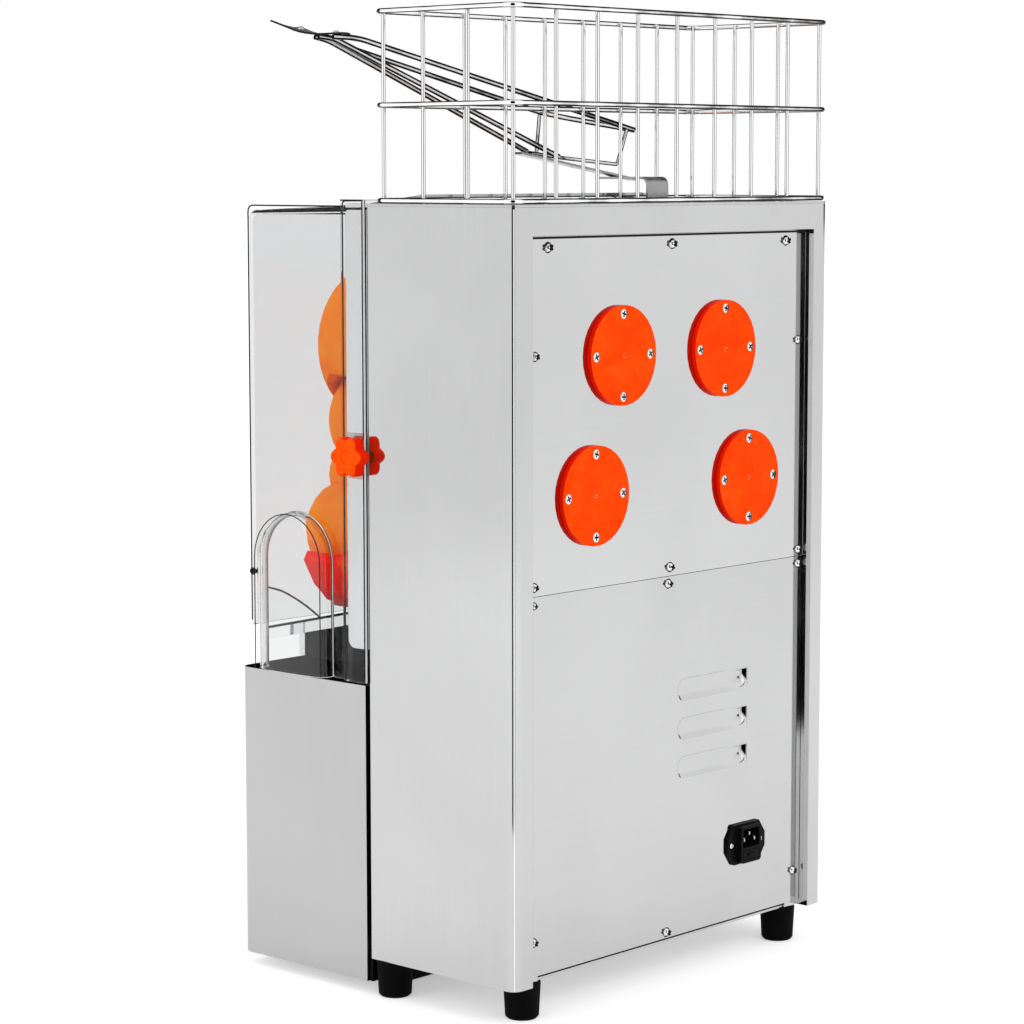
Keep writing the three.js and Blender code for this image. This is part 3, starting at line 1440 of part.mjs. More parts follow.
place('body_shell', bodyShell(), steel, ...brushed);
place('top_plate', topPlate(), steel, ...brushed);
place('base_plate', basePlate(), steel, ...brushed);
place('rear_upper_panel', rearUpperPanel(), steel, ...brushed);
place('rear_lower_panel', rearLowerPanel(), steel, ...brushed);
feet.forEach((one) => place(`foot_${one.name}`, foot(one), black, ...rubber));
drums.forEach((drum) => {
  place(`bearing_cap_${drum.name}`, bearingCap(drum), orange, ...plastic);
  place(`shaft_${drum.name}`, drumShaft(drum), brightSteel, ...polished);
  place(`${drum.cup ? 'cup' : 'ball'}_drum_${drum.name}`, pressDrum(drum), orange, ...plastic);
  place(`gear_${drum.name}`, drumGear(drum), castGrey, ...brushed);
});
place('motor_pinion', motorPinion(), castGrey, ...brushed);
place('gear_motor', gearMotor(), castGrey, ...brushed);
place('motor_plate', motorPlate(), steel, ...brushed);
place('bearing_plate', bearingPlate(), castGrey, ...brushed);
place('knife_holder', knifeHolder(), orange, ...plastic);
place('knife', knife(), brightSteel, ...polished);
place('peel_scraper_right', peelScraper(), orange, ...plastic);
place('peel_scraper_left', mirrorX(peelScraper()), orange, ...plastic);
place('juice_funnel', juiceFunnel(), steel, ...brushed);
place('filter_box', filterBox(), steel, ...brushed);
place('juice_tank', juiceTank(), steel, ...brushed);
place('tap_body', tapBody(), brightSteel, ...polished);
place('tap_lever', tapLever(), black, ...plastic);
place('peel_bin_right', peelBin(), steel, ...brushed);
place('peel_bin_left', mirrorX(peelBin()), steel, ...brushed);
place('bin_shelf', binShelf(), black, ...plastic);
place('drip_tray', dripTray(), black, ...plastic);
place('drip_grid', dripGrid(), steel, ...brushed);
place('front_cover', frontCover(), clearGrey, ...plastic);
place('peel_hood_right', peelHood(), clearGrey, ...plastic);
place('peel_hood_left', mirrorX(peelHood()), clearGrey, ...plastic);
place('knob_bracket_right', knobStud(), steel, ...brushed);
place('knob_bracket_left', mirrorX(knobStud()), steel, ...brushed);
place('cover_knob_right', coverKnob(), orange, ...plastic);
place('cover_knob_left', mirrorX(coverKnob()), orange, ...plastic);
place('cover_bumper_right', coverBumper(), black, ...rubber);
place('cover_bumper_left', mirrorX(coverBumper()), black, ...rubber);
place('inlet_body', inletBody(), black, ...plastic);
place('fuse_drawer', fuseDrawer(), black, ...plastic);
place('switch_housing', switchHousing(), black, ...plastic);
place('switch_rocker', switchRocker(), black, ...plastic);
place('fruit_basket', fruitBasket(), brightSteel, ...polished);
place('feed_ramp', feedRamp(), brightSteel, ...polished);
place('ramp_bracket', rampBracket(), brightSteel, ...brushed);

// The origin is moved to the bottom centre of the overall box.
const bounds = new THREE.Box3().setFromObject(group);
const depthShift = -(bounds.min.y + bounds.max.y) * half;
group.children.forEach((mesh) => {
  mesh.geometry.translate(0, depthShift, footHeight);
  mesh.geometry.computeVertexNormals();
});

export default group;
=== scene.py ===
import math

import bmesh
import bpy
from mathutils import Matrix, Vector


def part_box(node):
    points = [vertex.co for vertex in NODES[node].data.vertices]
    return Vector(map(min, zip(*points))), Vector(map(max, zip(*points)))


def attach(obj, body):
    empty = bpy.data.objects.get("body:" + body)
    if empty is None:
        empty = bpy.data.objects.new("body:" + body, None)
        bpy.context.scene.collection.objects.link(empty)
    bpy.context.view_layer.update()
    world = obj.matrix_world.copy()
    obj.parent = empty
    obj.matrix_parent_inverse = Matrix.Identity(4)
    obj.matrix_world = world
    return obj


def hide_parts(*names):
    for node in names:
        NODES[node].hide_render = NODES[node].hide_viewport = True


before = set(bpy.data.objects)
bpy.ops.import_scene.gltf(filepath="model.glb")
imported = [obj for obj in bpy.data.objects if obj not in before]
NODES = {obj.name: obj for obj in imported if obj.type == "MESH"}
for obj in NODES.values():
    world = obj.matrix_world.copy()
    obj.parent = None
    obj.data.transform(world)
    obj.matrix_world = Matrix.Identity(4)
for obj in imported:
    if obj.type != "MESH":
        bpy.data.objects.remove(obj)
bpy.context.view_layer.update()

# Part source millimetres (z = 0 at the bottom edge of the body) to row metres.
BODY_REAR = 79.1
SHIFT_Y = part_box("body_shell")[1].y * 1000 - BODY_REAR
SHIFT_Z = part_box("body_shell")[0].z * 1000


def P(x, y, z):
    return Vector((x, y + SHIFT_Y, z + SHIFT_Z)) / 1000


SIDES = (("right", 1), ("left", -1))


# -------- node helpers
class Nodes:
    """Builds the node tree of a new material, or of the world."""

    def __init__(self, name, world=None):
        self.material = world or bpy.data.materials.new(name)
        self.material.use_nodes = True
        self.tree = self.material.node_tree
        self.tree.nodes.clear()
        self.output = self.add("ShaderNodeOutput" + ("World" if world else "Material"))
        self.coordinates = self.add("ShaderNodeTexCoord")

    def add(self, kind, **values):
        node = self.tree.nodes.new(kind)
        for key, value in values.items():
            setattr(node, key, value)
        return node

    def link(self, a, b):
        self.tree.links.new(a, b)

    def principled(self, colour, **sockets):
        shader = self.add("ShaderNodeBsdfPrincipled")
        shader.inputs["Base Color"].default_value = (*colour, 1)
        for key, value in sockets.items():
            shader.inputs[key.replace("_", " ")].default_value = value
        self.link(shader.outputs[0], self.output.inputs["Surface"])
        return shader

    def noise(self, scale, size=1.0, detail=4.0, roughness=0.55, distortion=0.0):
        """Noise in object coordinates, with its own scale along each axis."""
        mapping = self.add("ShaderNodeMapping")
        mapping.inputs["Scale"].default_value = scale
        self.link(self.coordinates.outputs["Object"], mapping.inputs["Vector"])
        node = self.add("ShaderNodeTexNoise")
        node.inputs["Scale"].default_value = size
        node.inputs["Detail"].default_value = detail
        node.inputs["Roughness"].default_value = roughness
        node.inputs["Distortion"].default_value = distortion
        self.link(mapping.outputs[0], node.inputs["Vector"])
        return node.outputs["Fac"]

    def range(self, value, low, high, start=0.3, end=0.7, **values):
        node = self.add("ShaderNodeMapRange", **values)
        node.inputs["From Min"].default_value = start
        node.inputs["From Max"].default_value = end
        node.inputs["To Min"].default_value = low
        node.inputs["To Max"].default_value = high
        self.link(value, node.inputs["Value"])
        return node.outputs[0]

    def maths(self, operation, a, b):
        node = self.add("ShaderNodeMath", operation=operation)
        for socket, value in zip(node.inputs, (a, b)):
            if isinstance(value, (int, float)):
                socket.default_value = value
            else:
                self.link(value, socket)
        return node.outputs[0]

    def ramp(self, value, stops):
        node = self.add("ShaderNodeValToRGB")
        elements = node.color_ramp.elements
        while len(elements) < len(stops):
            elements.new(0.5)
        for element, (place, colour) in zip(elements, stops):
            element.position = place
            element.color = (*colour, 1)
        self.link(value, node.inputs[0])
        return node.outputs[0]

    def bump(self, shader, height, distance, strength):
        node = self.add("ShaderNodeBump")
        node.inputs["Strength"].default_value = strength
        node.inputs["Distance"].default_value = distance
        self.link(height, node.inputs["Height"])
        self.link(node.outputs[0], shader.inputs["Normal"])


def grey(level):
    return (level, level * 1.003, level * 1.006)


def brushed_steel(name, level, rough, grain=(700, 700, 7), bump=0.000006, spread=0.05):
    """Rolled stainless sheet: fine stretched grain, faint cloudy smudges."""
    n = Nodes(name)
    shader = n.principled(grey(level), Metallic=1.0)
    fine = n.noise(grain, 1.0, 3.0, 0.6)
    cloud = n.noise((7, 7, 5), 1.0, 4.0, 0.5, 0.4)
    wipe = n.noise((26, 26, 9), 1.0, 3.0, 0.5, 0.8)
    mix = n.maths("ADD", n.maths("MULTIPLY", fine, 0.25), n.maths("MULTIPLY", cloud, 0.75))
    tone = n.ramp(mix, [(0.36, grey(level * (1 - spread))),
                        (0.64, grey(level * (1 + spread * 0.5)))])
    n.link(tone, shader.inputs["Base Color"])
    rough_value = n.maths("ADD", n.range(fine, rough * 0.82, rough * 1.2),
                          n.range(wipe, -0.02, 0.035))
    n.link(rough_value, shader.inputs["Roughness"])
    n.bump(shader, fine, bump, 0.6)
    return n.material


def polished_steel(name, level, rough, scale=420, edge=None):
    """Plated or polished round stock: faint drawing marks and pits.

    edge is (level, start, end) of a painted reflection: the colour turns to that dark level towards
    the stock's edges, from start to end of the Facing value, in place of the mirrored dark studio.
    """
    n = Nodes(name)
    shader = n.principled(grey(level), Metallic=1.0)
    pits = n.noise((scale, scale, scale), 1.0, 4.0, 0.6)
    cloud = n.noise((30, 30, 30), 1.0, 3.0)
    place, stops = cloud, [(0.35, grey(level * 0.94)), (0.65, grey(min(level * 1.03, 1)))]
    # Painted reflection: the colour turns dark towards the edges, by the Facing value.
    if edge:
        dark, start, end = edge
        facing = n.add("ShaderNodeLayerWeight")
        facing.inputs["Blend"].default_value = 0.5
        place = n.maths("ADD", facing.outputs["Facing"], n.range(cloud, -0.04, 0.04))
        stops = [(start, grey(level)), (start + 0.07, grey(dark)), (end, grey(dark)),
                 (min(end + 0.12, 1.0), grey(level * 0.8))]
    n.link(n.ramp(place, stops), shader.inputs["Base Color"])
    n.link(n.maths("ADD", n.range(pits, rough * 0.7, rough * 1.5), n.range(cloud, 0.0, 0.03)),
           shader.inputs["Roughness"])
    n.bump(shader, pits, 0.00001, 0.35)
    return n.material


def moulded(name, colour, pale, deep, rough=0.3, axis=None, painted_shade_colour=None, front=None):
    """Glossy moulded plastic: cloudy colour, faint flow marks and fine surface grain.

    The optional second colour is painted shade: it goes on faces turned away from the object's axis
    (0 X, 1 Y), or, with front, on the piece's front part up to those shares of its depth.
    """
    n = Nodes(name)
    shader = n.principled(colour, Specular_IOR_Level=0.02)
    cloud = n.noise((55, 55, 55), 1.0, 5.0, 0.6, 0.6)
    flow = n.noise((18, 60, 30), 1.0, 3.0, 0.5, 1.2)
    fine = n.noise((1500, 1500, 1500), 1.0, 2.0)
    mix = n.maths("ADD", n.maths("MULTIPLY", cloud, 0.6), n.maths("MULTIPLY", flow, 0.4))
    tone = n.ramp(mix, [(0.34, deep), (0.5, colour), (0.68, pale)])
    # Painted shade: blend the deeper second colour in, by face direction or by depth.
    if painted_shade_colour:
        split = n.add("ShaderNodeSeparateXYZ")
        n.link(n.coordinates.outputs["Generated" if front else "Normal"], split.inputs[0])
        place = split.outputs[1] if front else n.maths("ABSOLUTE", split.outputs[axis], 0)
        place = n.maths("ADD", place, n.range(cloud, -0.03, 0.03))
        blend = n.add("ShaderNodeMix", data_type="RGBA")
        n.link(n.range(place, 0, 1, *(front or (0.35, 0.8))), blend.inputs[0])
        blend.inputs[6].default_value = (*painted_shade_colour, 1)
        n.link(tone, blend.inputs[7])
        tone = blend.outputs[2]
    n.link(tone, shader.inputs["Base Color"])
    n.link(n.maths("ADD", n.range(fine, rough * 0.9, rough * 1.12), n.range(flow, -0.03, 0.05)),
           shader.inputs["Roughness"])
    n.bump(shader, n.maths("ADD", fine, n.maths("MULTIPLY", cloud, 2.0)), 0.000012, 0.5)
    return n.material


def clear(name, tint, deep, rough, ior=1.1):
    """Clear sheet plastic: it lets light through, and painted shade turns its colour dark where it
    is seen edge on.
    """
    n = Nodes(name)
    shader = n.principled(tint, Transmission_Weight=1.0, IOR=ior, Roughness=rough, Coat_Weight=0.3,
                          Coat_Roughness=0.03)
    wipe = n.noise((30, 30, 12), 1.0, 4.0, 0.55, 0.6)
    # Painted shade: the colour goes towards deep where the sheet is seen edge on.
    facing = n.add("ShaderNodeLayerWeight")
    facing.inputs["Blend"].default_value = 0.5
    edge = n.maths("ADD", facing.outputs["Facing"], n.range(wipe, -0.02, 0.02))
    between = tuple((a * 2 + b) / 3 for a, b in zip(tint, deep))
    n.link(n.ramp(edge, [(0.55, tint), (0.9, between), (0.995, deep)]), shader.inputs["Base Color"])
    n.link(n.range(wipe, rough * 0.5, rough * 2.2, 0.35, 0.75), shader.inputs["Roughness"])
    path = n.add("ShaderNodeLightPath")
    see = n.add("ShaderNodeBsdfTransparent")
    see.inputs[0].default_value = (0.985, 0.985, 0.985, 1)
    mix = n.add("ShaderNodeMixShader")
    passing = n.maths("MAXIMUM", path.outputs["Is Shadow Ray"], path.outputs["Is Diffuse Ray"])
    n.link(passing, mix.inputs[0])
    n.link(shader.outputs[0], mix.inputs[1])
    n.link(see.outputs[0], mix.inputs[2])
    n.link(mix.outputs[0], n.output.inputs["Surface"])
    return n.material


def soft_black(name, level, rough, grain=0.00003, scale=900):
    """Black rubber or textured plastic with a fine pebbled grain."""
    n = Nodes(name)
    shader = n.principled(grey(level), Roughness=rough, Specular_IOR_Level=0.06)
    pebble = n.noise((scale, scale, scale), 1.0, 3.0, 0.6)
    dust = n.noise((40, 40, 40), 1.0, 5.0, 0.65)
    n.link(n.ramp(dust, [(0.4, grey(level * 0.8)), (0.72, grey(level * 1.7))]),
           shader.inputs["Base Color"])
    n.link(n.range(pebble, rough * 0.85, min(rough * 1.2, 1)), shader.inputs["Roughness"])
    n.bump(shader, pebble, grain, 0.6)
    return n.material


def painted_metal(name, level, rough):
    """Cast or painted metal with a sandy surface."""
    n = Nodes(name)
    shader = n.principled(grey(level), Metallic=0.6, Roughness=rough)
    sand = n.noise((650, 650, 650), 1.0, 5.0, 0.7)
    cloud = n.noise((22, 22, 22), 1.0, 4.0)
    n.link(n.ramp(cloud, [(0.35, grey(level * 0.82)), (0.65, grey(level * 1.12))]),
           shader.inputs["Base Color"])
    n.link(n.range(sand, rough * 0.8, min(rough * 1.25, 1)), shader.inputs["Roughness"])
    n.bump(shader, sand, 0.00004, 0.7)
    return n.material


ACROSS = (7, 700, 700)
SHEET = brushed_steel("stainless_side", 0.625, 0.06)
# Painted shade: a darker copy of the rear sheet, for the lower panel.
SHEET_LOW_SHADED = brushed_steel("stainless_rear_low_shaded", 0.615, 0.06, ACROSS, 0.000002, 0.04)
# Painted reflection: a plain grey for strips that stand in for what polished edges mirror.
REFLECTION_GREY = moulded("satin_edge", (0.66, 0.662, 0.664), (0.69, 0.692, 0.694), (0.63, 0.632, 0.634),
                0.5)
# Painted light: a lighter copy of the same stainless, for the front strips, chute plates and posts.
SHEET_LIT = brushed_steel("stainless_lit_copy", 0.9, 0.07)
SHEET_REAR = brushed_steel("stainless_rear", 0.655, 0.06, ACROSS, 0.000002, 0.04)
SHEET_TOP = brushed_steel("stainless_top", 0.62, 0.16, (7, 500, 500))
SHEET_BIN = brushed_steel("stainless_bin", 0.53, 0.12)
SHEET_INNER = brushed_steel("stainless_inner", 0.6, 0.24, (500, 12, 500))
CHROME = polished_steel("polished_wire_chrome", 0.93, 0.05)
# WIRE, ROD and SCREW carry a painted reflection: their colour turns dark towards their edges.
WIRE = polished_steel("basket_wire_chrome_painted_edges", 0.96, 0.05, edge=(0.02, 0.37, 0.92))
ROD = polished_steel("ramp_rod_chrome_painted_edges", 0.82, 0.05, edge=(0.01, 0.1, 0.93))
STEEL = polished_steel("turned_steel_bright", 0.68, 0.11)
BRACKET = polished_steel("bracket_steel", 0.34, 0.14)
SCREW = polished_steel("screw_zinc_painted_edges", 0.95, 0.06, 900, edge=(0.015, 0.4, 0.97))
# Painted shade: deeper red on the caps' side walls, on the knobs' faces turned away from X, and on
# the scraper's front part seen through the hood.
ORANGE = moulded("orange_moulding", (1.0, 0.062, 0.0), (1.0, 0.088, 0.002), (0.97, 0.048, 0.0),
                 axis=1, painted_shade_colour=(1.0, 0.01, 0.0005))
ORANGE_GATE = moulded("orange_gate_mark", (1.0, 0.3, 0.09), (1.0, 0.36, 0.14), (1.0, 0.2, 0.04))
ORANGE_KNOB = moulded("orange_knob", (1.0, 0.085, 0.001), (1.0, 0.11, 0.003), (0.97, 0.06, 0.0),
                      axis=0, painted_shade_colour=(0.95, 0.02, 0.0005))
ORANGE_SCRAPER = moulded("orange_scraper", (1.0, 0.2, 0.01), (1.0, 0.25, 0.015),
                         (1.0, 0.15, 0.005), 0.26, painted_shade_colour=(1.0, 0.012, 0.001), front=(0.4, 0.55))
ORANGE_DRUM = moulded("orange_drum", (1.0, 0.25, 0.008), (1.0, 0.3, 0.012),
                      (1.0, 0.19, 0.004), 0.26)
# The second colour of each clear sheet is its painted shade where it is seen edge on.
CLEAR = clear("clear_cover", (0.84, 0.845, 0.848), (0.4, 0.4, 0.4), 0.002)
CLEAR_HOOD = clear("clear_hood", (0.86, 0.865, 0.868), (0.0, 0.0, 0.0), 0.002, 1.3)
RUBBER = soft_black("rubber_black", 0.0014, 0.62)
BLACK = soft_black("plastic_black", 0.004, 0.38, 0.000012, 1400)
MOTOR = painted_metal("motor_paint_grey", 0.12, 0.5)
CAST = painted_metal("cast_aluminium_grey", 0.42, 0.42)
# Painted highlight and painted shade: the bright and the dark line of a cut edge of clear sheet;
# the dark one also draws painted shade in seams, gaps, folds and round screw heads.
HIGHLIGHT_LINE = moulded("painted_highlight_line", (0.86, 0.87, 0.88), (0.9, 0.905, 0.91), (0.8, 0.81, 0.82),
                0.25)
SHADE_LINE = moulded("painted_shade_line", (0.02, 0.02, 0.021), (0.03, 0.03, 0.031),
                (0.012, 0.012, 0.013), 0.2)

# The material of each CAD node, by the start of its name; gear_motor stands before gear_.
FINISH = {
    "body_shell": SHEET, "top_plate": SHEET_TOP, "base_plate": SHEET_INNER,
    "rear_upper_panel": SHEET_REAR, "rear_lower_panel": SHEET_REAR, "peel_bin_": SHEET_BIN,
    "motor_pinion": STEEL, "gear_motor": MOTOR, "motor_plate": SHEET_INNER, "bearing_plate": CAST,
    "knife_holder": ORANGE_DRUM, "knife": STEEL, "peel_scraper_": ORANGE_SCRAPER,
    "juice_": SHEET_INNER, "filter_box": SHEET_INNER, "tap_body": STEEL, "tap_lever": BLACK,
    "bin_shelf": BLACK, "drip_tray": BLACK, "drip_grid": SHEET_INNER, "front_cover": CLEAR,
    "peel_hood_": CLEAR_HOOD, "inlet_body": BLACK, "fuse_drawer": BLACK, "switch_": BLACK,
    "fruit_basket": CHROME, "feed_ramp": CHROME, "ramp_bracket": BRACKET, "foot_": RUBBER,
    "bearing_cap_": ORANGE, "shaft_": STEEL, "cup_drum_": ORANGE_DRUM, "ball_drum_": ORANGE_DRUM,
    "gear_": CAST, "knob_bracket_": SHEET_INNER, "cover_knob_": ORANGE_KNOB,
    "cover_bumper_": RUBBER,
}


def finish_of(name):
    return next(material for start, material in FINISH.items() if name.startswith(start))


# -------- smooth shading by angle
def smooth_group(degrees):
    tree = bpy.data.node_groups.new("smooth_by_angle_%d" % degrees, "GeometryNodeTree")
    tree.interface.new_socket("Geometry", in_out="INPUT", socket_type="NodeSocketGeometry")
    tree.interface.new_socket("Geometry", in_out="OUTPUT", socket_type="NodeSocketGeometry")
    start, end = tree.nodes.new("NodeGroupInput"), tree.nodes.new("NodeGroupOutput")
    faces, edges = (tree.nodes.new("GeometryNodeSetShadeSmooth") for _ in range(2))
    faces.domain, edges.domain = "FACE", "EDGE"
    angle = tree.nodes.new("GeometryNodeInputMeshEdgeAngle")
    compare = tree.nodes.new("FunctionNodeCompare")
    compare.data_type, compare.operation = "FLOAT", "LESS_THAN"
    compare.inputs[1].default_value = math.radians(degrees)
    tree.links.new(start.outputs[0], faces.inputs[0])
    tree.links.new(faces.outputs[0], edges.inputs[0])
    tree.links.new(angle.outputs[0], compare.inputs[0])
    tree.links.new(compare.outputs[0], edges.inputs["Shade Smooth"])
    tree.links.new(edges.outputs[0], end.inputs[0])
    return tree


SMOOTH = smooth_group(38)


def dress(obj, edge, weld=True):
    """Rounds the sharp edges of a piece a little and smooths what is curved."""
    if weld:
        obj.modifiers.new("weld", "WELD").merge_threshold = 0.00002
        if obj.name != "drip_grid":  # its top with all the slots triangulates wrongly as one face
            flat = obj.modifiers.new("flat", "DECIMATE")
            flat.decimate_type, flat.angle_limit = "DISSOLVE", math.radians(0.6)
    if edge:
        bevel = obj.modifiers.new("edges", "BEVEL")
        bevel.width, bevel.segments = edge / 1000, 2
        bevel.limit_method, bevel.angle_limit = "ANGLE", math.radians(35)
        bevel.use_clamp_overlap = True
        bevel.miter_outer = "MITER_ARC"
    group = obj.modifiers.new("smooth", "NODES")
    group.node_group = SMOOTH
    weighted = obj.modifiers.new("weighted", "WEIGHTED_NORMAL")
    weighted.keep_sharp = True
    weighted.weight = 60


# Width of the rounded edges of the CAD nodes in mm, where it isn't EDGE_WIDTH.
EDGE_WIDTH = 0.35
EDGES = {
    "fruit_basket": 0, "feed_ramp": 0, "front_cover": 1.2, "peel_hood_right": 0,
    "peel_hood_left": 0, "filter_box": 0.15, "drip_grid": 0.2, "knife": 0, "top_plate": 0.3,
}

for name, node in NODES.items():
    if "custom_normal" in node.data.attributes:
        node.data.attributes.remove(node.data.attributes["custom_normal"])
    node.data.materials.clear()
    node.data.materials.append(finish_of(name))
    dress(node, EDGES.get(name, EDGE_WIDTH))


# -------- mesh helpers
def linked(name, data):
    obj = bpy.data.objects.new(name, data)
    bpy.context.scene.collection.objects.link(obj)
    return obj


def outward_mesh(name, vertices, faces):
    """A mesh whose faces all look outwards."""
    mesh = bpy.data.meshes.new(name)
    mesh.from_pydata([tuple(v) for v in vertices], [], faces)
    mesh.validate()
    work = bmesh.new()
    work.from_mesh(mesh)
    bmesh.ops.recalc_face_normals(work, faces=work.faces)
    work.to_mesh(mesh)
    work.free()
    return mesh


def mesh_object(name, vertices, faces, material, body, edge=0.0):
    mesh = outward_mesh(name, vertices, faces)
    mesh.materials.append(material)
    obj = linked(name, mesh)
    dress(obj, edge, weld=False)
    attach(obj, body)
    return obj


class Pile:
    """Collects vertices and faces of one object."""

    def __init__(self):
        self.vertices, self.faces = [], []

    def add(self, vertices, faces):
        base = len(self.vertices)
        self.vertices += [Vector(v) for v in vertices]
        self.faces += [tuple(base + i for i in face) for face in faces]

    def loft(self, loops, closed=False):
        """Skins a row of loops; closed joins the last to the first, else both ends are capped."""
        count = len(loops[0])
        vertices = [v for loop in loops for v in loop]
        faces = []
        levels = len(loops) if closed else len(loops) - 1
        for level in range(levels):
            a, b = level * count, (level + 1) % len(loops) * count
            faces += [(a + i, a + (i + 1) % count, b + (i + 1) % count, b + i)
                      for i in range(count)]
        if not closed:
            faces += [tuple(range(count))[::-1],
                      tuple((len(loops) - 1) * count + i for i in range(count))]
        self.add(vertices, faces)

    def tube(self, path, radius, sides=12, closed=False):
        """A round wire along path, with one radius or one for each point."""
        points = [Vector(p) for p in path]
        loops, last = [], None
        for k, point in enumerate(points):
            before = points[k - 1] if closed or k else point
            open_end = k == len(points) - 1 and not closed
            after = point if open_end else points[(k + 1) % len(points)]
            along = ((point - before).normalized() + (after - point).normalized()).normalized()
            if last is None:
                seed = Vector((0, 0, 1)) if abs(along.z) < 0.9 else Vector((1, 0, 0))
                across = seed.cross(along).normalized()
            else:
                across = (last - along * last.dot(along)).normalized()
            last = across
            over = along.cross(across)
            size = radius[k] if isinstance(radius, (list, tuple)) else radius
            loops.append([point + across * size * math.cos(2 * math.pi * s / sides)
                          + over * size * math.sin(2 * math.pi * s / sides)
                          for s in range(sides)])
        self.loft(loops, closed)

    def lathe(self, profile, centre, axis, sides=32):
        """Turns (radius, height) points round an axis through centre."""
        axis = Vector(axis).normalized()
        seed = Vector((0, 0, 1)) if abs(axis.z) < 0.9 else Vector((1, 0, 0))
        across = seed.cross(axis).normalized()
        over = axis.cross(across)
        loops = []
        for radius, height in profile:
            loops.append([Vector(centre) + axis * height
                          + across * radius * math.cos(2 * math.pi * s / sides)
                          + over * radius * math.sin(2 * math.pi * s / sides)
                          for s in range(sides)])
        self.loft(loops)

    def along_x(self, outline, xs, sign):
        """Carries an outline of (y, z) points in mm along X; sign -1 gives the left side."""
        self.loft([[P(sign * x, y, z) for y, z in outline] for x in xs])

    def along_z(self, outline, zs, sign):
        """Carries an outline of (x, y) points in mm along Z."""
        self.loft([[P(sign * x, y, z) for x, y in outline] for z in zs])

    def place(self, mesh, matrices):
        points = [v.co.copy() for v in mesh.vertices]
        faces = [tuple(p.vertices) for p in mesh.polygons]
        for matrix in matrices:
            self.add([matrix @ p for p in points], faces)

    def make(self, name, material, body, slot, edge=0.0):
        return mesh_object(name, self.vertices, self.faces, material, body, edge)


def bend(points, radius, steps=6):
    """Rounds the corners of a path."""
    points = [Vector(p) for p in points]
    out = [points[0]]
    for a, b, c in zip(points, points[1:], points[2:]):
        reach = min(radius, (b - a).length * 0.45, (c - b).length * 0.45)
        start, end = b + (a - b).normalized() * reach, b + (c - b).normalized() * reach
        for k in range(steps + 1):
            t = k / steps
            out.append((1 - t) ** 2 * start + 2 * t * (1 - t) * b + t * t * end)
    return out + [points[-1]]


def boolean_mesh(base, cutter):
    """The mesh of base with cutter taken away, both piles in their own units."""
    made = [linked("scratch", outward_mesh("scratch", pile.vertices, pile.faces))
            for pile in (base, cutter)]
    modifier = made[0].modifiers.new("cut", "BOOLEAN")
    modifier.object, modifier.solver = made[1], "EXACT"
    graph = bpy.context.evaluated_depsgraph_get()
    result = bpy.data.meshes.new_from_object(made[0].evaluated_get(graph))
    for obj in made:
        bpy.data.objects.remove(obj)
    return result


def cross_pile(*levels):
    """A cross shaped bar along Z from (height, half width of an arm, reach of an arm) levels."""
    pile = Pile()
    pile.loft([[Vector((x, y, z)) for x, y in (
        (r, -w), (r, w), (w, w), (w, r), (-w, r), (-w, w), (-r, w), (-r, -w), (-w, -w), (-w, -r),
        (w, -r), (w, -w))] for z, w, r in levels])
    return pile


def cross_head(profile, depth, wide=0.2, reach=0.62):
    """A screw head of radius 1, axis +Z, with a cross recess."""
    head = Pile()
    head.lathe(profile, (0, 0, 0), (0, 0, 1), 28)
    top = max(height for _, height in profile) + 0.2
    low = top - 0.2 - depth
    cutter = cross_pile((low, wide * 0.5, reach * 0.6), (top, wide * 1.1, reach * 1.1))
    return boolean_mesh(head, cutter)


PAN = cross_head([(0.0001, -0.1), (1.0, -0.1), (0.97, 0.06), (0.84, 0.28), (0.62, 0.46),
                  (0.34, 0.56), (0.0001, 0.58)], 0.42)
FLAT = cross_head([(0.0001, -0.3), (0.9, -0.3), (1.0, -0.16), (0.96, -0.06), (0.8, 0.0),
                   (0.0001, 0.02)], 0.26)


def cross_recess_shade(low, high, wide, reach):
    """Painted shade: a dark cross that fills the bottom of a cross recess, for a head of radius 1.
    """
    pile = cross_pile((low, wide * 0.52, reach * 0.62), (high, wide * 0.95, reach * 0.98))
    mesh = bpy.data.meshes.new("insert")
    mesh.from_pydata([tuple(v) for v in pile.vertices], [], pile.faces)
    return mesh


PAN_SHADE_CROSS = cross_recess_shade(0.17, 0.6, 0.25, 0.64)
FLAT_SHADE_CROSS = cross_recess_shade(-0.23, 0.01, 0.22, 0.62)
REARWARD = Vector((0, 1, 0))


def pose_of(point, radius, turn):
    """Places a screw head of radius 1 on the rear, facing +Y."""
    facing = REARWARD.to_track_quat("Z", "Y").to_matrix().to_4x4()
    return (Matrix.Translation(Vector(point)) @ facing @ Matrix.Rotation(turn, 4, "Z")
            @ Matrix.Diagonal((radius, radius, radius, 1)))


# -------- screws
PANEL_FACE = 69.9
TALL = Matrix.Diagonal((1, 1, 1.55, 1))
# X, Z and radius in mm, as the photo shows them.
PANEL_SCREWS = [
    (-151, 577.5, 4.1), (0, 577.7, 4.1), (151, 577.5, 4.1), (166, 493.8, 3.7), (-169, 493.1, 3.7),
    (167, 314.4, 3.7), (1, 314.5, 4.0), (-172, 313, 3.7), (167, 300, 2.9), (3, 301, 3.9),
    (-172, 300.8, 3.7), (167.5, 32.5, 3.6), (3.3, 9.9, 3.8), (-168.7, 32.1, 3.8),
]
places = [pose_of(P(x, PANEL_FACE, z), size / 1000, 0.5 + 1.7 * k) @ TALL
          for k, (x, z, size) in enumerate(PANEL_SCREWS)]
pile = Pile()
pile.place(PAN, places)
pile.make("panel_screws", SCREW, "machine", "turned_steel")
# Painted shade: a dark cross in each screw's recess.
pile = Pile()
pile.place(PAN_SHADE_CROSS, places)
pile.make("panel_screw_recess_shade", BLACK, "machine", "turned_steel")
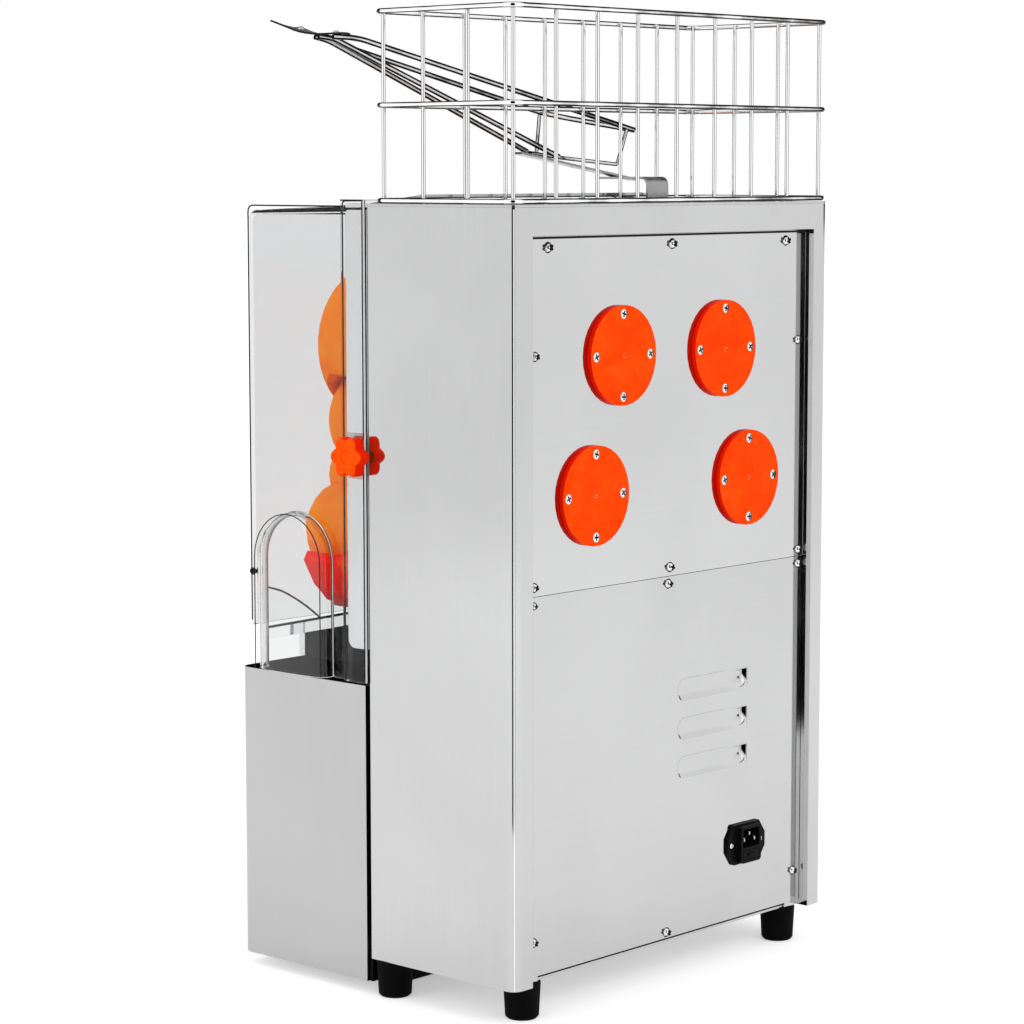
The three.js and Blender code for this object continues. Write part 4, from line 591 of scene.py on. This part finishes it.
# Painted shade: a dark ring round the foot of each screw head.
ring_shade = Pile()
for x, z, size in PANEL_SCREWS:
    ring_shade.lathe([(0.0001, 0.0), (size * 1.1e-3, 0.0), (size * 1.08e-3, 0.0002),
                   (size * 0.6e-3, 0.0003), (0.0001, 0.0005)],
                  P(x, PANEL_FACE - 0.05, z), REARWARD, 28)
ring_shade.make("panel_screw_shade_rings", SHADE_LINE, "machine", "turned_steel")

CAP_FACE = 74.3
CAP_SCREW_CIRCLE = 33
CAP_CENTRES = {"upper_right": (65, 490.5), "upper_left": (-65, 490.5),
               "lower_right": (98, 381), "lower_left": (-98, 381)}
for label, (x, z) in CAP_CENTRES.items():
    # The dark crosses are painted shade in the screw recesses.
    pile, dark = Pile(), Pile()
    for k in range(4):
        turn = math.pi / 2 * k
        spot = pose_of(P(x + CAP_SCREW_CIRCLE * math.cos(turn), CAP_FACE + 0.15,
                         z + CAP_SCREW_CIRCLE * math.sin(turn)), 0.0042, 0.4 + 0.9 * k)
        pile.place(FLAT, [spot])
        dark.place(FLAT_SHADE_CROSS, [spot])
    pile.make("cap_screws_" + label, SCREW, "machine", "turned_steel")
    dark.make("cap_screw_recess_shade_" + label, BLACK, "machine", "turned_steel")

pile = Pile()
for k, (x, z) in enumerate(CAP_CENTRES.values()):
    for turn, reach, size in ((0.4, 0.8, 0.9), (2.1, 1.7, 0.7), (3.9, 2.2, 0.8), (5.2, 1.6, 0.5)):
        pile.lathe([(0.0001, -0.0002), (size * 1e-3, -0.0002), (size * 0.7e-3, 0.00025),
                    (0.0001, 0.0003)],
                   P(x + reach * math.cos(turn + k), CAP_FACE, z + reach * math.sin(turn + k)),
                   REARWARD, 12)
pile.make("cap_gate_marks", ORANGE_GATE, "machine", "orange_plastic")

# -------- rear lower panel
LOUVRE_TOPS = (220.0, 187.4, 154.8)
LOUVRE_LEFT, LOUVRE_RIGHT, LOUVRE_HEIGHT = -10.0, -103.0, 19.5
LOUVRE_ROUND = LOUVRE_HEIGHT / 2


def louvre_depth(x, z):
    """How far the pressed sheet lies behind the panel face: deepest at its open right end."""
    share = (LOUVRE_LEFT - x) / (LOUVRE_LEFT - LOUVRE_RIGHT)
    if not 0 <= share <= 1:
        return 0.0
    for top in LOUVRE_TOPS:
        drop = top - z
        if 0 < drop < LOUVRE_HEIGHT:
            fade = min(max((share - 0.35) / 0.6, 0), 1)
            wide = 1.1 * (1 - 0.8 * fade * fade * (3 - 2 * fade))
            wide *= 1 if drop < 12 else math.cos((drop - 12) / 7.5 * math.pi / 2)
            deep = 5.6 * share ** 12 * min(1, max(0, drop - 1.6) / 1.0)
            deep *= 1 if drop < 7 else max(0, 1 - (drop - 7) / 5.0) ** 0.8
            inside = LOUVRE_ROUND - math.hypot(max(x - LOUVRE_LEFT + LOUVRE_ROUND, 0),
                                               drop - LOUVRE_ROUND)
            step = min(1, max(inside, 0) / 1.4) if x > LOUVRE_LEFT - LOUVRE_ROUND else 1
            return (wide * step + deep) * min(1, drop / 0.8)
    return 0.0


def on_louvre(x, top, drop, out=0.0):
    """The point of the pressed sheet x right of the open end and drop below the louvre's top."""
    return P(LOUVRE_RIGHT + x, PANEL_FACE - louvre_depth(LOUVRE_RIGHT + x, top - drop) + out,
             top - drop)


def lower_panel():
    hole = (-114.4, -86.6, 52.3, 84.5)  # of the power inlet: X from and to, Z from and to
    xs = {-178.0, 178.0, hole[0], hole[1], LOUVRE_RIGHT - 0.02, LOUVRE_LEFT, -30.0, -45.0, -58.0}
    xs |= {LOUVRE_LEFT - 0.9 * step for step in range(1, 14)}
    xs |= {LOUVRE_RIGHT + step
           for step in (0, 1, 2, 3, 4, 5, 6, 7.5, 9, 11, 13, 15, 18, 22, 27, 33)}
    zs = {5.0, 306.9, hole[2], hole[3]}
    for top in LOUVRE_TOPS:
        zs |= {top - drop for drop in (0, 0.4, 0.8, 1.6, 2.1, 2.6, 3.8, 5, 6, 7, 8, 9, 10, 11,
                                       12.2, 13.5, 14.8, 16, 17.2, 18.4, LOUVRE_HEIGHT)}
    xs, zs = sorted(xs), sorted(zs)
    front = {(i, k): P(x, PANEL_FACE - (louvre_depth(x, z) if x >= LOUVRE_RIGHT else 0), z)
             for i, x in enumerate(xs) for k, z in enumerate(zs)}
    cells = []
    for i in range(len(xs) - 1):
        for k in range(len(zs) - 1):
            x, z = (xs[i] + xs[i + 1]) / 2, (zs[k] + zs[k + 1]) / 2
            if hole[0] < x < hole[1] and hole[2] < z < hole[3]:
                continue
            if x < LOUVRE_RIGHT < xs[i + 1] + 0.001 and louvre_depth(LOUVRE_RIGHT, z) > 1.4:
                continue
            cells.append(((i, k), (i + 1, k), (i + 1, k + 1), (i, k + 1)))
    used = sorted({corner for cell in cells for corner in cell})
    number = {corner: n for n, corner in enumerate(used)}
    vertices = [front[corner] for corner in used]
    vertices += [v - Vector((0, 0.0012, 0)) for v in vertices]
    base, faces, edges = len(used), [], {}
    for cell in cells:
        ring = [number[corner] for corner in cell]
        faces += [tuple(ring), tuple(base + v for v in reversed(ring))]
        for a, b in zip(ring, ring[1:] + ring[:1]):
            edges[(a, b)] = True
    faces += [(b, a, base + a, base + b) for a, b in edges if (b, a) not in edges]
    panel = mesh_object("louvred_panel", vertices, faces, SHEET_LOW_SHADED, "machine")
    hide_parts("rear_lower_panel")
    # Painted highlight: bright beads along each louvre's lip; painted shade: dark lines along its
    # bottom fold.
    highlight_beads, under = Pile(), Pile()
    for top in LOUVRE_TOPS:
        spots = [(3.2, 7.6, 0.3), (4.0, 9.0, 0.9), (4.9, 10.6, 1.5), (5.7, 12.0, 1.6),
                 (6.5, 13.4, 1.3), (7.4, 15.0, 0.4)]
        highlight_beads.tube([on_louvre(x, top, drop, -size * 0.55) for x, drop, size in spots],
                  [size / 1000 for _, _, size in spots], 12)
        under.tube([on_louvre(x, top, drop)
                    for x, drop in ((2.6, 12.6), (4.6, 15.0), (7.6, 16.4), (10.5, 16.6))],
                   [0.0001, 0.00035, 0.0003, 0.0001], 8)
    highlight_beads.make("louvre_lip_highlights", HIGHLIGHT_LINE, "machine", "stainless_sheet")
    under.make("louvre_fold_shade", SHADE_LINE, "machine", "stainless_sheet")
    # Painted reflection: a grey patch over each louvre's open end.
    ends = Pile()
    for top in LOUVRE_TOPS:
        rows = []
        for x in (0.1, 1, 2, 3, 4, 5, 6, 7.5, 9):
            outer = [on_louvre(x, top, drop, 0.08)
                     for drop in (0.9, 1.6, 2.1, 2.6, 3.8, 5, 6, 7, 8, 9, 10, 11, 12, 13)]
            rows.append(outer + [v - Vector((0, 0.00006, 0)) for v in reversed(outer)])
        ends.loft(rows)
    ends.make("louvre_end_reflection", REFLECTION_GREY, "machine", "stainless_sheet")


lower_panel()

# -------- painted edge lines of the body
# Painted reflection: the grey rim strips and the bright corner bead with dark edges stand in for
# what the polished edges mirror; the dark bead under the top band is painted shade in the gap.
for side_name, sign in SIDES:
    pile = Pile()
    pile.along_z(((178.42, 74.5), (178.42, 78.9), (178.1, 78.9), (178.1, 74.5)),
                 (6, 150, 300, 450, 583), sign)
    pile.make("rim_edge_reflection_" + side_name, REFLECTION_GREY, "machine", "stainless_sheet")
pile = Pile()
pile.tube([P(199.2, 78.3, z) for z in (1.5, 200, 400, 607.2)], 0.00072, 10)
pile.make("corner_highlight_bead", WIRE, "machine", "stainless_sheet")
shade_bead = Pile()
shade_bead.tube([P(x, 70.9, 584.9) for x in (-177, 0, 177)], 0.0009, 10)
shade_bead.make("body_gap_shade", SHADE_LINE, "machine", "stainless_sheet")

# -------- power inlet
INLET = (-100.5, 68.6)
INLET_FACE = 77.7
pile = Pile()
for dx, dz in ((0.0, 8.6), (-7.0, 3.4), (7.0, 3.4)):
    x, z = INLET[0] + dx, INLET[1] + dz
    loops = []
    for y, grow in ((INLET_FACE - 14.0, 1.0), (INLET_FACE - 2.6, 1.0), (INLET_FACE - 1.8, 0.55)):
        loops.append([P(x + a * grow, y, z + b * grow)
                      for a, b in ((-0.9, -2.0), (0.9, -2.0), (0.9, 2.0), (-0.9, 2.0))])
    pile.loft(loops)
pile.make("inlet_pins", STEEL, "machine", "turned_steel", 0.15)
pile = Pile()
pile.place(PAN, [pose_of(P(INLET[0] + side * 20, 71.4, INLET[1]), 0.0031, 0.5 * side)
                 for side in (-1, 1)])
pile.make("inlet_screws", SCREW, "machine", "turned_steel")

# -------- fruit basket
TOP_Z = 608.8
RINGS = (4.2, 78.7, 151.7)
RING_R, WIRE_R, WELD_DEPTH = 2.1, 1.65, 0.6
BX, BREAR, BFRONT, BCORNER = 198.0, 77.0, -70.9, 10.0


def ring_path(z, steps=9):
    side, rear, front = BX - BCORNER, BREAR - BCORNER, BFRONT + BCORNER
    points = []
    for start, (cx, cy) in enumerate(((side, rear), (-side, rear), (-side, front), (side, front))):
        for k in range(steps + 1):
            turn = math.pi / 2 * (start + k / steps)
            points.append(P(cx + BCORNER * math.cos(turn), cy + BCORNER * math.sin(turn), z))
    return points


pile = Pile()
for height in RINGS:
    pile.tube(ring_path(TOP_Z + height), RING_R / 1000, 14, closed=True)
inset = RING_R + WIRE_R - WELD_DEPTH
long_x, side_rear, side_front = BX - inset, BREAR - inset, BFRONT + inset
spots = []
for k in range(1, 8):
    x = -long_x + 2 * long_x * k / 8
    spots += [(x, side_rear, 0, -1), (x, side_front, 0, 1)]
for k in range(1, 3):
    y = side_front + (side_rear - side_front) * k / 3
    spots += [(long_x, y, -1, 0), (-long_x, y, 1, 0)]
reach = (BCORNER - inset) * (1 - math.sqrt(0.5))
for sign in (1, -1):
    spots += [(sign * (long_x - reach), side_rear - reach, -sign, -1),
              (sign * (long_x - reach), side_front + reach, -sign, 1)]
welds = Pile()
for x, y, inx, iny in spots:
    low, high = TOP_Z + RINGS[0] - 1.9, TOP_Z + RINGS[2] + 1.1
    pile.tube([P(x, y, low), P(x, y, low + 0.5), P(x, y, high - 0.8), P(x, y, high)],
              [WIRE_R * 0.8e-3, WIRE_R * 1e-3, WIRE_R * 1e-3, WIRE_R * 0.7e-3], 12)
    for height in RINGS:
        size = math.hypot(inx, iny)
        ox, oy = -inx / size, -iny / size
        centre = P(x + ox * 1.5, y + oy * 1.5, TOP_Z + height)
        welds.lathe([(0.0001, -0.0017), (0.0011, -0.0015), (0.0018, -0.0008), (0.002, 0),
                     (0.0018, 0.0008), (0.0011, 0.0015), (0.0001, 0.0017)], centre, (0, 0, 1), 10)
basket = pile.make("basket_wires", WIRE, "machine", "polished_wire")
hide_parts("fruit_basket")
welds.make("basket_welds", STEEL, "machine", "polished_wire")

# -------- feed ramp
RAMP, RAMP_Z = (-125.49, -100.0), 607.5
HEADING = math.atan2(-0.31, 0.95)


def R(along, across, height):
    """A point of the ramp in mm: along its heading, across it to its left, and up."""
    c, s = math.cos(HEADING), math.sin(HEADING)
    return P(RAMP[0] + along * c - across * s, RAMP[1] + along * s + across * c, RAMP_Z + height)


RODS = [
    [(288, 34.5, 137.2), (266, 34.5, 136.6), (0, 34.5, 63.4)],
    [(271, -34.5, 139.9), (259, -34.5, 137.2), (54, -34.5, 79.3), (40, -20, 75), (20, 8, 69),
     (0, 34.5, 63.4)],
    [(291, 14, 138.2), (277, 14, 136.6), (63, 14, 40.4)],
    [(281, -14, 139.2), (268, -14, 136), (78.5, -14, 45)],
]
TIES = [
    [(60, -30, 43), (77.8, -14, 44.3), (62.2, 14, 39.8), (16, 33, 34)],
    [(54, -34.5, 79.3), (60, -30, 43)],
    [(7, 34.5, 65.2), (16, 33, 34)],
]
pile = Pile()
for path in RODS:
    pile.tube(bend([R(*p) for p in path], 0.012), 0.0024, 14)
for path in TIES:
    pile.tube(bend([R(*p) for p in path], 0.006), 0.0017, 12)
ramp = pile.make("ramp_rods", ROD, "machine", "polished_wire")
# The two long edges of the tip plate: along, across and height of the rear edge, then of the
# front edge, as the photo's corners give them.
PLATE = [
    (328.7, 3, 150.8, 325.9, -3, 151.1), (326.6, 10, 148.7, 317.2, -10, 149.9),
    (324.5, 17, 146.5, 308.5, -17, 148.7), (322, 23, 144.4, 300.2, -23, 147.8),
    (320, 28, 142.6, 293.2, -28, 147.3), (316.5, 32, 141, 285.8, -32, 147.8),
    (312.4, 34.5, 140.1, 279.3, -34, 146.5), (307.7, 36, 139.6, 273.3, -35, 144.6),
    (302.6, 36.5, 139.4, 267.3, -36, 143.2), (295.6, 37, 139.7, 259.9, -36, 143.2),
    (288.4, 37, 140.2, 252.4, -36, 143.6), (281.2, 37, 140.6, 244.9, -36, 144.1),
    (275.7, 37, 140.4, 239.3, -36, 143.8), (273.9, 37, 139.6, 237.5, -36, 143),
]
PLATE_THICKNESS = 1.2
pile, edge = Pile(), Pile()
loops = []
for a1, c1, h1, a2, c2, h2 in PLATE:
    row = [(a1 + (a2 - a1) * t, c1 + (c2 - c1) * t, h1 + (h2 - h1) * t)
           for t in (0, 0.25, 0.5, 0.75, 1)]
    loops.append([R(*spot) for spot in row]
                 + [R(a, c, h - PLATE_THICKNESS) for a, c, h in reversed(row)])
pile.loft(loops)
# Painted shade: a dark line along the rear edge of the tip plate.
edge.tube([R(a, c, h - 0.5) for a, c, h, _, _, _ in PLATE], 0.0008, 10)
edge.make("ramp_tip_edge", SHADE_LINE, "machine", "polished_wire")
pile.make("ramp_tip_plate", SHEET_INNER, "machine", "polished_wire", 0.4)
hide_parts("feed_ramp")
pile = Pile()
for along, across, height in ((310, 20, 143.6), (278, 20, 140.9)):
    pile.lathe([(0.0001, -0.0006), (0.0028, -0.0006), (0.0026, 0.0009), (0.0017, 0.0017),
                (0.0001, 0.002)], R(along, across, height), (0, 0, 1), 20)
pile.make("ramp_rivets", STEEL, "machine", "polished_wire")

# -------- front frame strips
STRIP_FRONT, STRIP_REAR, FOLD = -102.3, -79.3, 0.8


def side_strip(name, sign):
    """The folded stainless edge of the front frame, behind the flange of the clear cover."""
    strip = Pile()
    # From, to, and the radius of the front corner below and on top.
    for low, high, below, above in ((253.5, 391.2, 7.0, FOLD), (427.8, 605.5, FOLD, 3.0)):
        corners = ((STRIP_FRONT + below, low + below, below, 2),
                   (STRIP_REAR - FOLD, low + FOLD, FOLD, 3),
                   (STRIP_REAR - FOLD, high - FOLD, FOLD, 0),
                   (STRIP_FRONT + above, high - above, above, 1))
        outline = []
        for cy, cz, radius, start in corners:
            for k in range(7):
                turn = math.pi / 2 * (start + k / 6)
                outline.append((cy + radius * math.cos(turn), cz + radius * math.sin(turn)))
        strip.along_x(outline, (198.0, 199.2), sign)
    strip.make(name, SHEET_LIT, "machine", "stainless_sheet", 0.2)


for side_name, sign in SIDES:
    side_strip("front_strip_" + side_name, sign)


# -------- peel chutes under the drums
def chute(side_name, sign):
    """The slanted plate that leads the peel over a scraper to the bin, and its black side."""
    def top(y):
        return 271 + (y + 146) * 0.224

    plate = ((152, 0), (184, 0), (184, -9), (182.6, -9), (182.6, -1.4), (152, -1.4))
    lip = ((182.6, 0), (184, 0), (184, -9), (182.6, -9))
    tray = Pile()
    for outline, ys in ((plate, (-100, -125, -150, -178)), (lip, (-177.9, -196, -214))):
        tray.loft([[P(sign * x, y, top(y) + z) for x, z in outline] for y in ys])
    tray.make("peel_chute_" + side_name, SHEET_LIT, "machine", "stainless_sheet", 0.2)
    wall = Pile()
    wall.along_x(((-171, 236), (-81, 236), (-81, 278), (-100, top(-100) - 1.8),
                  (-171, top(-171) - 1.8)), (179, 181.5), sign)
    wall.make("chute_wall_" + side_name, BLACK, "machine", "black_plastic", 0.6)
    trim = Pile()
    trim.tube([P(sign * 184.2, y, top(y) + 0.9) for y in (-214, -190, -160, -130, -101)],
              0.0011, 10)
    trim.make("chute_trim_" + side_name, RUBBER, "machine", "black_rubber")
    rail = Pile()
    rail.tube(bend([P(sign * 184, y, z)
                    for y, z in ((-213, 290.6), (-196.8, 289.4), (-181.2, 284.8),
                                 (-165.7, 278.6), (-150, 270.4))], 0.01), 0.00085, 10)
    rail.make("chute_rail_" + side_name, SHADE_LINE, "machine", "turned_steel")
    post = Pile()
    post.along_x(((-178, 237), (-171.4, 237), (-171.4, 264), (-178, 262.5)), (180.4, 182.2), sign)
    post.make("chute_post_" + side_name, SHEET_LIT, "machine", "stainless_sheet", 0.2)


for side_name, sign in SIDES:
    chute(side_name, sign)


# -------- painted edge lines of the clear cover
FLANGE_Z = (226.4, 340, 480, 613.1)


def flange_edge(side_name, sign):
    """The rear edge of the flange, bright as a painted highlight, and dark lines as painted shade
    where its folds refract.
    """
    edge = Pile()
    edge.along_z(((199.9, -81.05), (202.2, -81.05), (202.2, -80.75), (199.9, -80.75)),
                 FLANGE_Z, sign)
    edge.make("flange_edge_highlight_" + side_name, HIGHLIGHT_LINE, "cover", "clear_plastic")
    lines = Pile()
    lines.tube([P(sign * 199.55, -80.9, z) for z in FLANGE_Z], 0.0005, 10)
    if sign > 0:
        lines.tube([P(202.55, -81.0, z) for z in FLANGE_Z], 0.00055, 10)
        lines.tube([P(202.5, y, 613.2) for y in (-105, -93, -81)], 0.0006, 10)
    lines.tube(bend([P(sign * 199.9, y, z) for y, z in (
        (-105.4, 226.4), (-105.4, 400), (-105.4, 612.6), (-81.5, 612.9))], 0.004), 0.0006, 10)
    lines.tube(bend([P(sign * 197.0, y, z) for y, z in (
        (-219.3, 264), (-219.3, 608.3), (-106.5, 608.3))], 0.006), 0.0006, 10)
    lines.make("flange_shade_lines_" + side_name, SHADE_LINE, "cover", "clear_plastic")


for side_name, sign in SIDES:
    flange_edge(side_name, sign)


# -------- peel hoods
HOOD_X, HOOD_Y, HOOD_HALF, HOOD_BULGE = 197.3, -161.2, 39.8, 15.5
HOOD_LOW, HOOD_SPRING, HOOD_WALL = 227.0, 319.5, 2.4


def hood_rows(shrink, steps=44, levels=22):
    radius, bulge = HOOD_HALF - shrink, HOOD_BULGE - shrink
    heights = [HOOD_LOW + (HOOD_SPRING - HOOD_LOW) * k / 6 for k in range(7)]
    heights += [HOOD_SPRING + radius * math.sin(math.pi / 2 * k / levels)
                for k in range(1, levels)]
    heights.append(HOOD_SPRING + radius * 0.9985)
    turns = [math.pi * (1 - math.cos(math.pi * k / steps)) / 2 for k in range(steps + 1)]
    rows = []
    for z in heights:
        rise = max(z - HOOD_SPRING, 0) / radius
        share = math.sqrt(1 - rise * rise)
        rows.append([(HOOD_X + bulge * share ** 0.5 * max(math.sin(turn), 0) ** 0.36,
                      HOOD_Y + radius * share * math.cos(turn), z) for turn in turns])
    return rows


def hood(name, sign, cad):
    """The shell between an outer and an inner bulge, a bright bead at its foot as painted
    highlight, and dark edge lines as painted shade.
    """
    outer, inner = hood_rows(0), hood_rows(HOOD_WALL)
    vertices, faces = [], []
    count, levels = len(outer[0]), len(outer)
    for rows in (outer, inner):
        vertices += [P(sign * x, y, z) for row in rows for x, y, z in row]
    base = count * levels
    for level in range(levels - 1):
        for k in range(count - 1):
            a = level * count + k
            faces.append((a, a + 1, a + count + 1, a + count))
            faces.append((base + a, base + a + count, base + a + count + 1, base + a + 1))
    for k in range(count - 1):
        faces.append((k, base + k, base + k + 1, k + 1))
        top = (levels - 1) * count + k
        faces.append((top, top + 1, base + top + 1, base + top))
    for level in range(levels - 1):
        for k in (0, count - 1):
            a, b = level * count + k, (level + 1) * count + k
            faces.append((a, b, base + b, base + a))
    obj = mesh_object(name, vertices, faces, CLEAR_HOOD, "cover")
    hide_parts(cad)

    def arch(x, reach):
        turns = [math.pi * k / 36 for k in range(37)]
        return [P(sign * x, HOOD_Y + y, z) for y, z in [
            (-reach, HOOD_LOW + 1),
            *((-reach * math.cos(turn), HOOD_SPRING + reach * math.sin(turn)) for turn in turns),
            (reach, HOOD_LOW + 1)]]

    # Painted highlight: a bright bead along the foot; painted shade: two dark lines along the
    # edges.
    bead = Pile()
    bead.tube(arch(198.2, HOOD_HALF - 0.4), 0.0008, 10)
    bead.make(name + "_rim_highlight", WIRE, "cover", "clear_plastic")
    line = Pile()
    line.tube(arch(211.9, HOOD_HALF - 1.3), 0.00045, 8)
    line.tube(arch(197.9, HOOD_HALF - 3.1), 0.0003, 8)
    line.make(name + "_edge", SHADE_LINE, "cover", "clear_plastic")


hood("hood_right_shell", 1, "peel_hood_right")
hood("hood_left_shell", -1, "peel_hood_left")


# -------- bumpers on the cover's corners
for side_name, sign in SIDES:
    pile = Pile()
    pile.lathe([(0.0001, 0.0), (0.0031, 0.0), (0.0031, 0.0016), (0.0026, 0.0026),
                (0.0014, 0.0031), (0.0001, 0.0032)],
               P(sign * 193.8, -219.95, 304.5), (0, -1, 0), 28)
    bumper = pile.make("bumper_" + side_name, RUBBER, "cover", "black_rubber")
    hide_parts("cover_bumper_" + side_name)


# -------- star knobs
KNOB_X, KNOB_Y, KNOB_Z = 202.8, -90, 409.5


def knob(name, sign, cad, body):
    count = 144
    turns = [2 * math.pi * k / count for k in range(count)]

    def star(shrink, crown):
        """Six lobes; crown below 1 draws the loop in."""
        radii = [13.4 + 4.0 * ((1 + math.cos(turn * 6)) / 2) ** 0.75 - shrink for turn in turns]
        return [(radius * math.cos(turn) * crown, radius * math.sin(turn) * crown)
                for radius, turn in zip(radii, turns)]

    def circle(radius):
        return [(radius * math.cos(turn), radius * math.sin(turn)) for turn in turns]

    loops = [(x, star(shrink, crown)) for x, shrink, crown in (
        (0.0, 1.7, 1), (0.5, 0.8, 1), (1.3, 0.2, 1), (2.4, 0.0, 1), (9.4, 0.0, 1), (10.6, 0.25, 1),
        (11.5, 0.9, 1), (11.95, 1.9, 1), (12.0, 3.2, 0.96), (11.9, 3.4, 0.7), (11.7, 3.4, 0.62),
        (11.6, 3.4, 0.55))]
    loops += [(x, circle(radius)) for x, radius in (
        (11.4, 5.4), (10.9, 5.2), (10.8, 4.2), (10.9, 2.0), (10.95, 0.05))]
    pile = Pile()
    pile.loft([[P(sign * (KNOB_X + x), KNOB_Y + y, KNOB_Z + z) for y, z in loop]
               for x, loop in loops])
    obj = pile.make(name, ORANGE_KNOB, body, "orange_plastic")
    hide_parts(cad)


knob("star_knob_right", 1, "cover_knob_right", "knob_right")
knob("star_knob_left", -1, "cover_knob_left", "knob_left")

# -------- light, floor and camera
# The camera is fitted to the photo's corners.
AZIMUTH, ELEVATION, ROLL = (math.radians(angle) for angle in (132.3347, 6.5055, -0.0562))
CAMERA_PLACE, LENS = P(1884.4, 1611.4, 637.0), 105.51
back = Vector((math.sin(AZIMUTH) * math.cos(ELEVATION), -math.cos(AZIMUTH) * math.cos(ELEVATION),
               math.sin(ELEVATION)))
look = -back
side = look.cross(Vector((0, 0, 1))).normalized()
rise = side.cross(look)
cam_x = math.cos(ROLL) * side + math.sin(ROLL) * rise
cam_y = -math.sin(ROLL) * side + math.cos(ROLL) * rise
camera = linked("camera", bpy.data.cameras.new("camera"))
camera.data.lens, camera.data.sensor_width = LENS, 36
camera.data.sensor_fit = "HORIZONTAL"
camera.data.clip_end = 60
camera.matrix_world = Matrix.Translation(CAMERA_PLACE) @ Matrix(
    (cam_x, cam_y, back)).transposed().to_4x4()
bpy.context.scene.camera = camera

# A dark studio surround stands in a ring round the axis that the photo was taken along: round
# stock mirrors it at its edges, and the flat panels mirror the white walls between.
world = bpy.data.worlds.new("studio")
bpy.context.scene.world = world
n = Nodes("studio", world)
dot = n.add("ShaderNodeVectorMath", operation="DOT_PRODUCT")
n.link(n.coordinates.outputs["Generated"], dot.inputs[0])
dot.inputs[1].default_value = back
angle = n.maths("MULTIPLY", n.maths("ARCCOSINE", dot.outputs["Value"], 0), 180 / math.pi)
SOFT = {"interpolation_type": "SMOOTHSTEP"}
ring = n.maths("MULTIPLY", n.range(angle, 0, 1, 105, 112, **SOFT),
               n.range(angle, 1, 0, 166, 174, **SOFT))
glossy_level = n.maths("SUBTRACT", 1.0, n.maths("MULTIPLY", ring, 0.9))
path = n.add("ShaderNodeLightPath")
direct = n.maths("MAXIMUM", path.outputs["Is Camera Ray"], path.outputs["Is Transmission Ray"])
glossy = path.outputs["Is Glossy Ray"]
level = n.maths("ADD", direct, n.maths("MULTIPLY", glossy, glossy_level))
neither = n.maths("SUBTRACT", 1.0, n.maths("MAXIMUM", direct, glossy))
level = n.maths("ADD", level, n.maths("MULTIPLY", neither, 0.97))
background = n.add("ShaderNodeBackground")
background.inputs["Color"].default_value = (1, 1, 1, 1)
n.link(n.maths("MINIMUM", level, 1.0), background.inputs["Strength"])
n.link(background.outputs[0], n.output.inputs["Surface"])

n = Nodes("floor_white")
shader = n.principled((0.8, 0.8, 0.8), Roughness=0.9, Specular_IOR_Level=0.1)
speck = n.noise((3, 3, 3), 1.0, 3.0)
n.link(n.ramp(speck, [(0.3, (0.79, 0.79, 0.79)), (0.7, (0.81, 0.81, 0.81))]),
       shader.inputs["Base Color"])
path = n.add("ShaderNodeLightPath")
glow = n.add("ShaderNodeEmission")
glow.inputs["Color"].default_value = (1, 1, 1, 1)
bounced = n.maths("MAXIMUM", path.outputs["Is Transmission Ray"], path.outputs["Is Glossy Ray"])
n.link(n.maths("ADD", n.maths("MULTIPLY", path.outputs["Is Camera Ray"], 0.42),
               n.maths("MULTIPLY", bounced, 0.22)), glow.inputs["Strength"])
both = n.add("ShaderNodeAddShader")
n.link(shader.outputs[0], both.inputs[0])
n.link(glow.outputs[0], both.inputs[1])
n.link(both.outputs[0], n.output.inputs["Surface"])


def square(name, corners, material):
    mesh = bpy.data.meshes.new(name)
    mesh.from_pydata(corners, [], [(0, 1, 2, 3)])
    mesh.materials.append(material)
    return linked(name, mesh)


floor = square("floor", [(-30, -30, 0), (30, -30, 0), (30, 30, 0), (-30, 30, 0)], n.material)

# A black flag on the floor between the camera and the machine, which only polished metal mirrors.
n = Nodes("flag_felt")
shader = n.principled((0.004, 0.004, 0.004), Roughness=0.95, Specular_IOR_Level=0.0)
n.link(n.ramp(n.noise((60, 60, 60), 1.0, 4.0),
              [(0.3, (0.003, 0.003, 0.003)), (0.7, (0.006, 0.006, 0.006))]),
       shader.inputs["Base Color"])
FLAG_AWAY, FLAG_HALF, FLAG_HEIGHT = 0.95, 0.21, 2.2
level_back = Vector((back.x, back.y, 0)).normalized()
level_side = Vector((-level_back.y, level_back.x, 0))
flag = square("flag", [level_back * FLAG_AWAY + level_side * s * FLAG_HALF + Vector((0, 0, z))
                       for s, z in ((-1, 0), (1, 0), (1, FLAG_HEIGHT), (-1, FLAG_HEIGHT))],
              n.material)
flag.visible_camera = flag.visible_diffuse = flag.visible_shadow = False
flag.visible_transmission = flag.visible_volume_scatter = False


def softbox(name, place, target, width, height, watts):
    data = bpy.data.lights.new(name, "AREA")
    data.shape, data.size, data.size_y, data.energy = "RECTANGLE", width, height, watts
    lamp = linked(name, data)
    lamp.matrix_world = Matrix.Translation(place) @ (Vector(target) - Vector(place)).to_track_quat(
        "-Z", "Y").to_matrix().to_4x4()
    lamp.visible_glossy = False


softbox("key", (0.4, 2.6, 2.2), (0, 0, 0.4), 1.6, 1.2, 16)
softbox("fill", (2.6, -0.8, 1.6), (0, 0, 0.4), 1.6, 1.6, 10)

bpy.context.scene.view_settings.view_transform = "Standard"
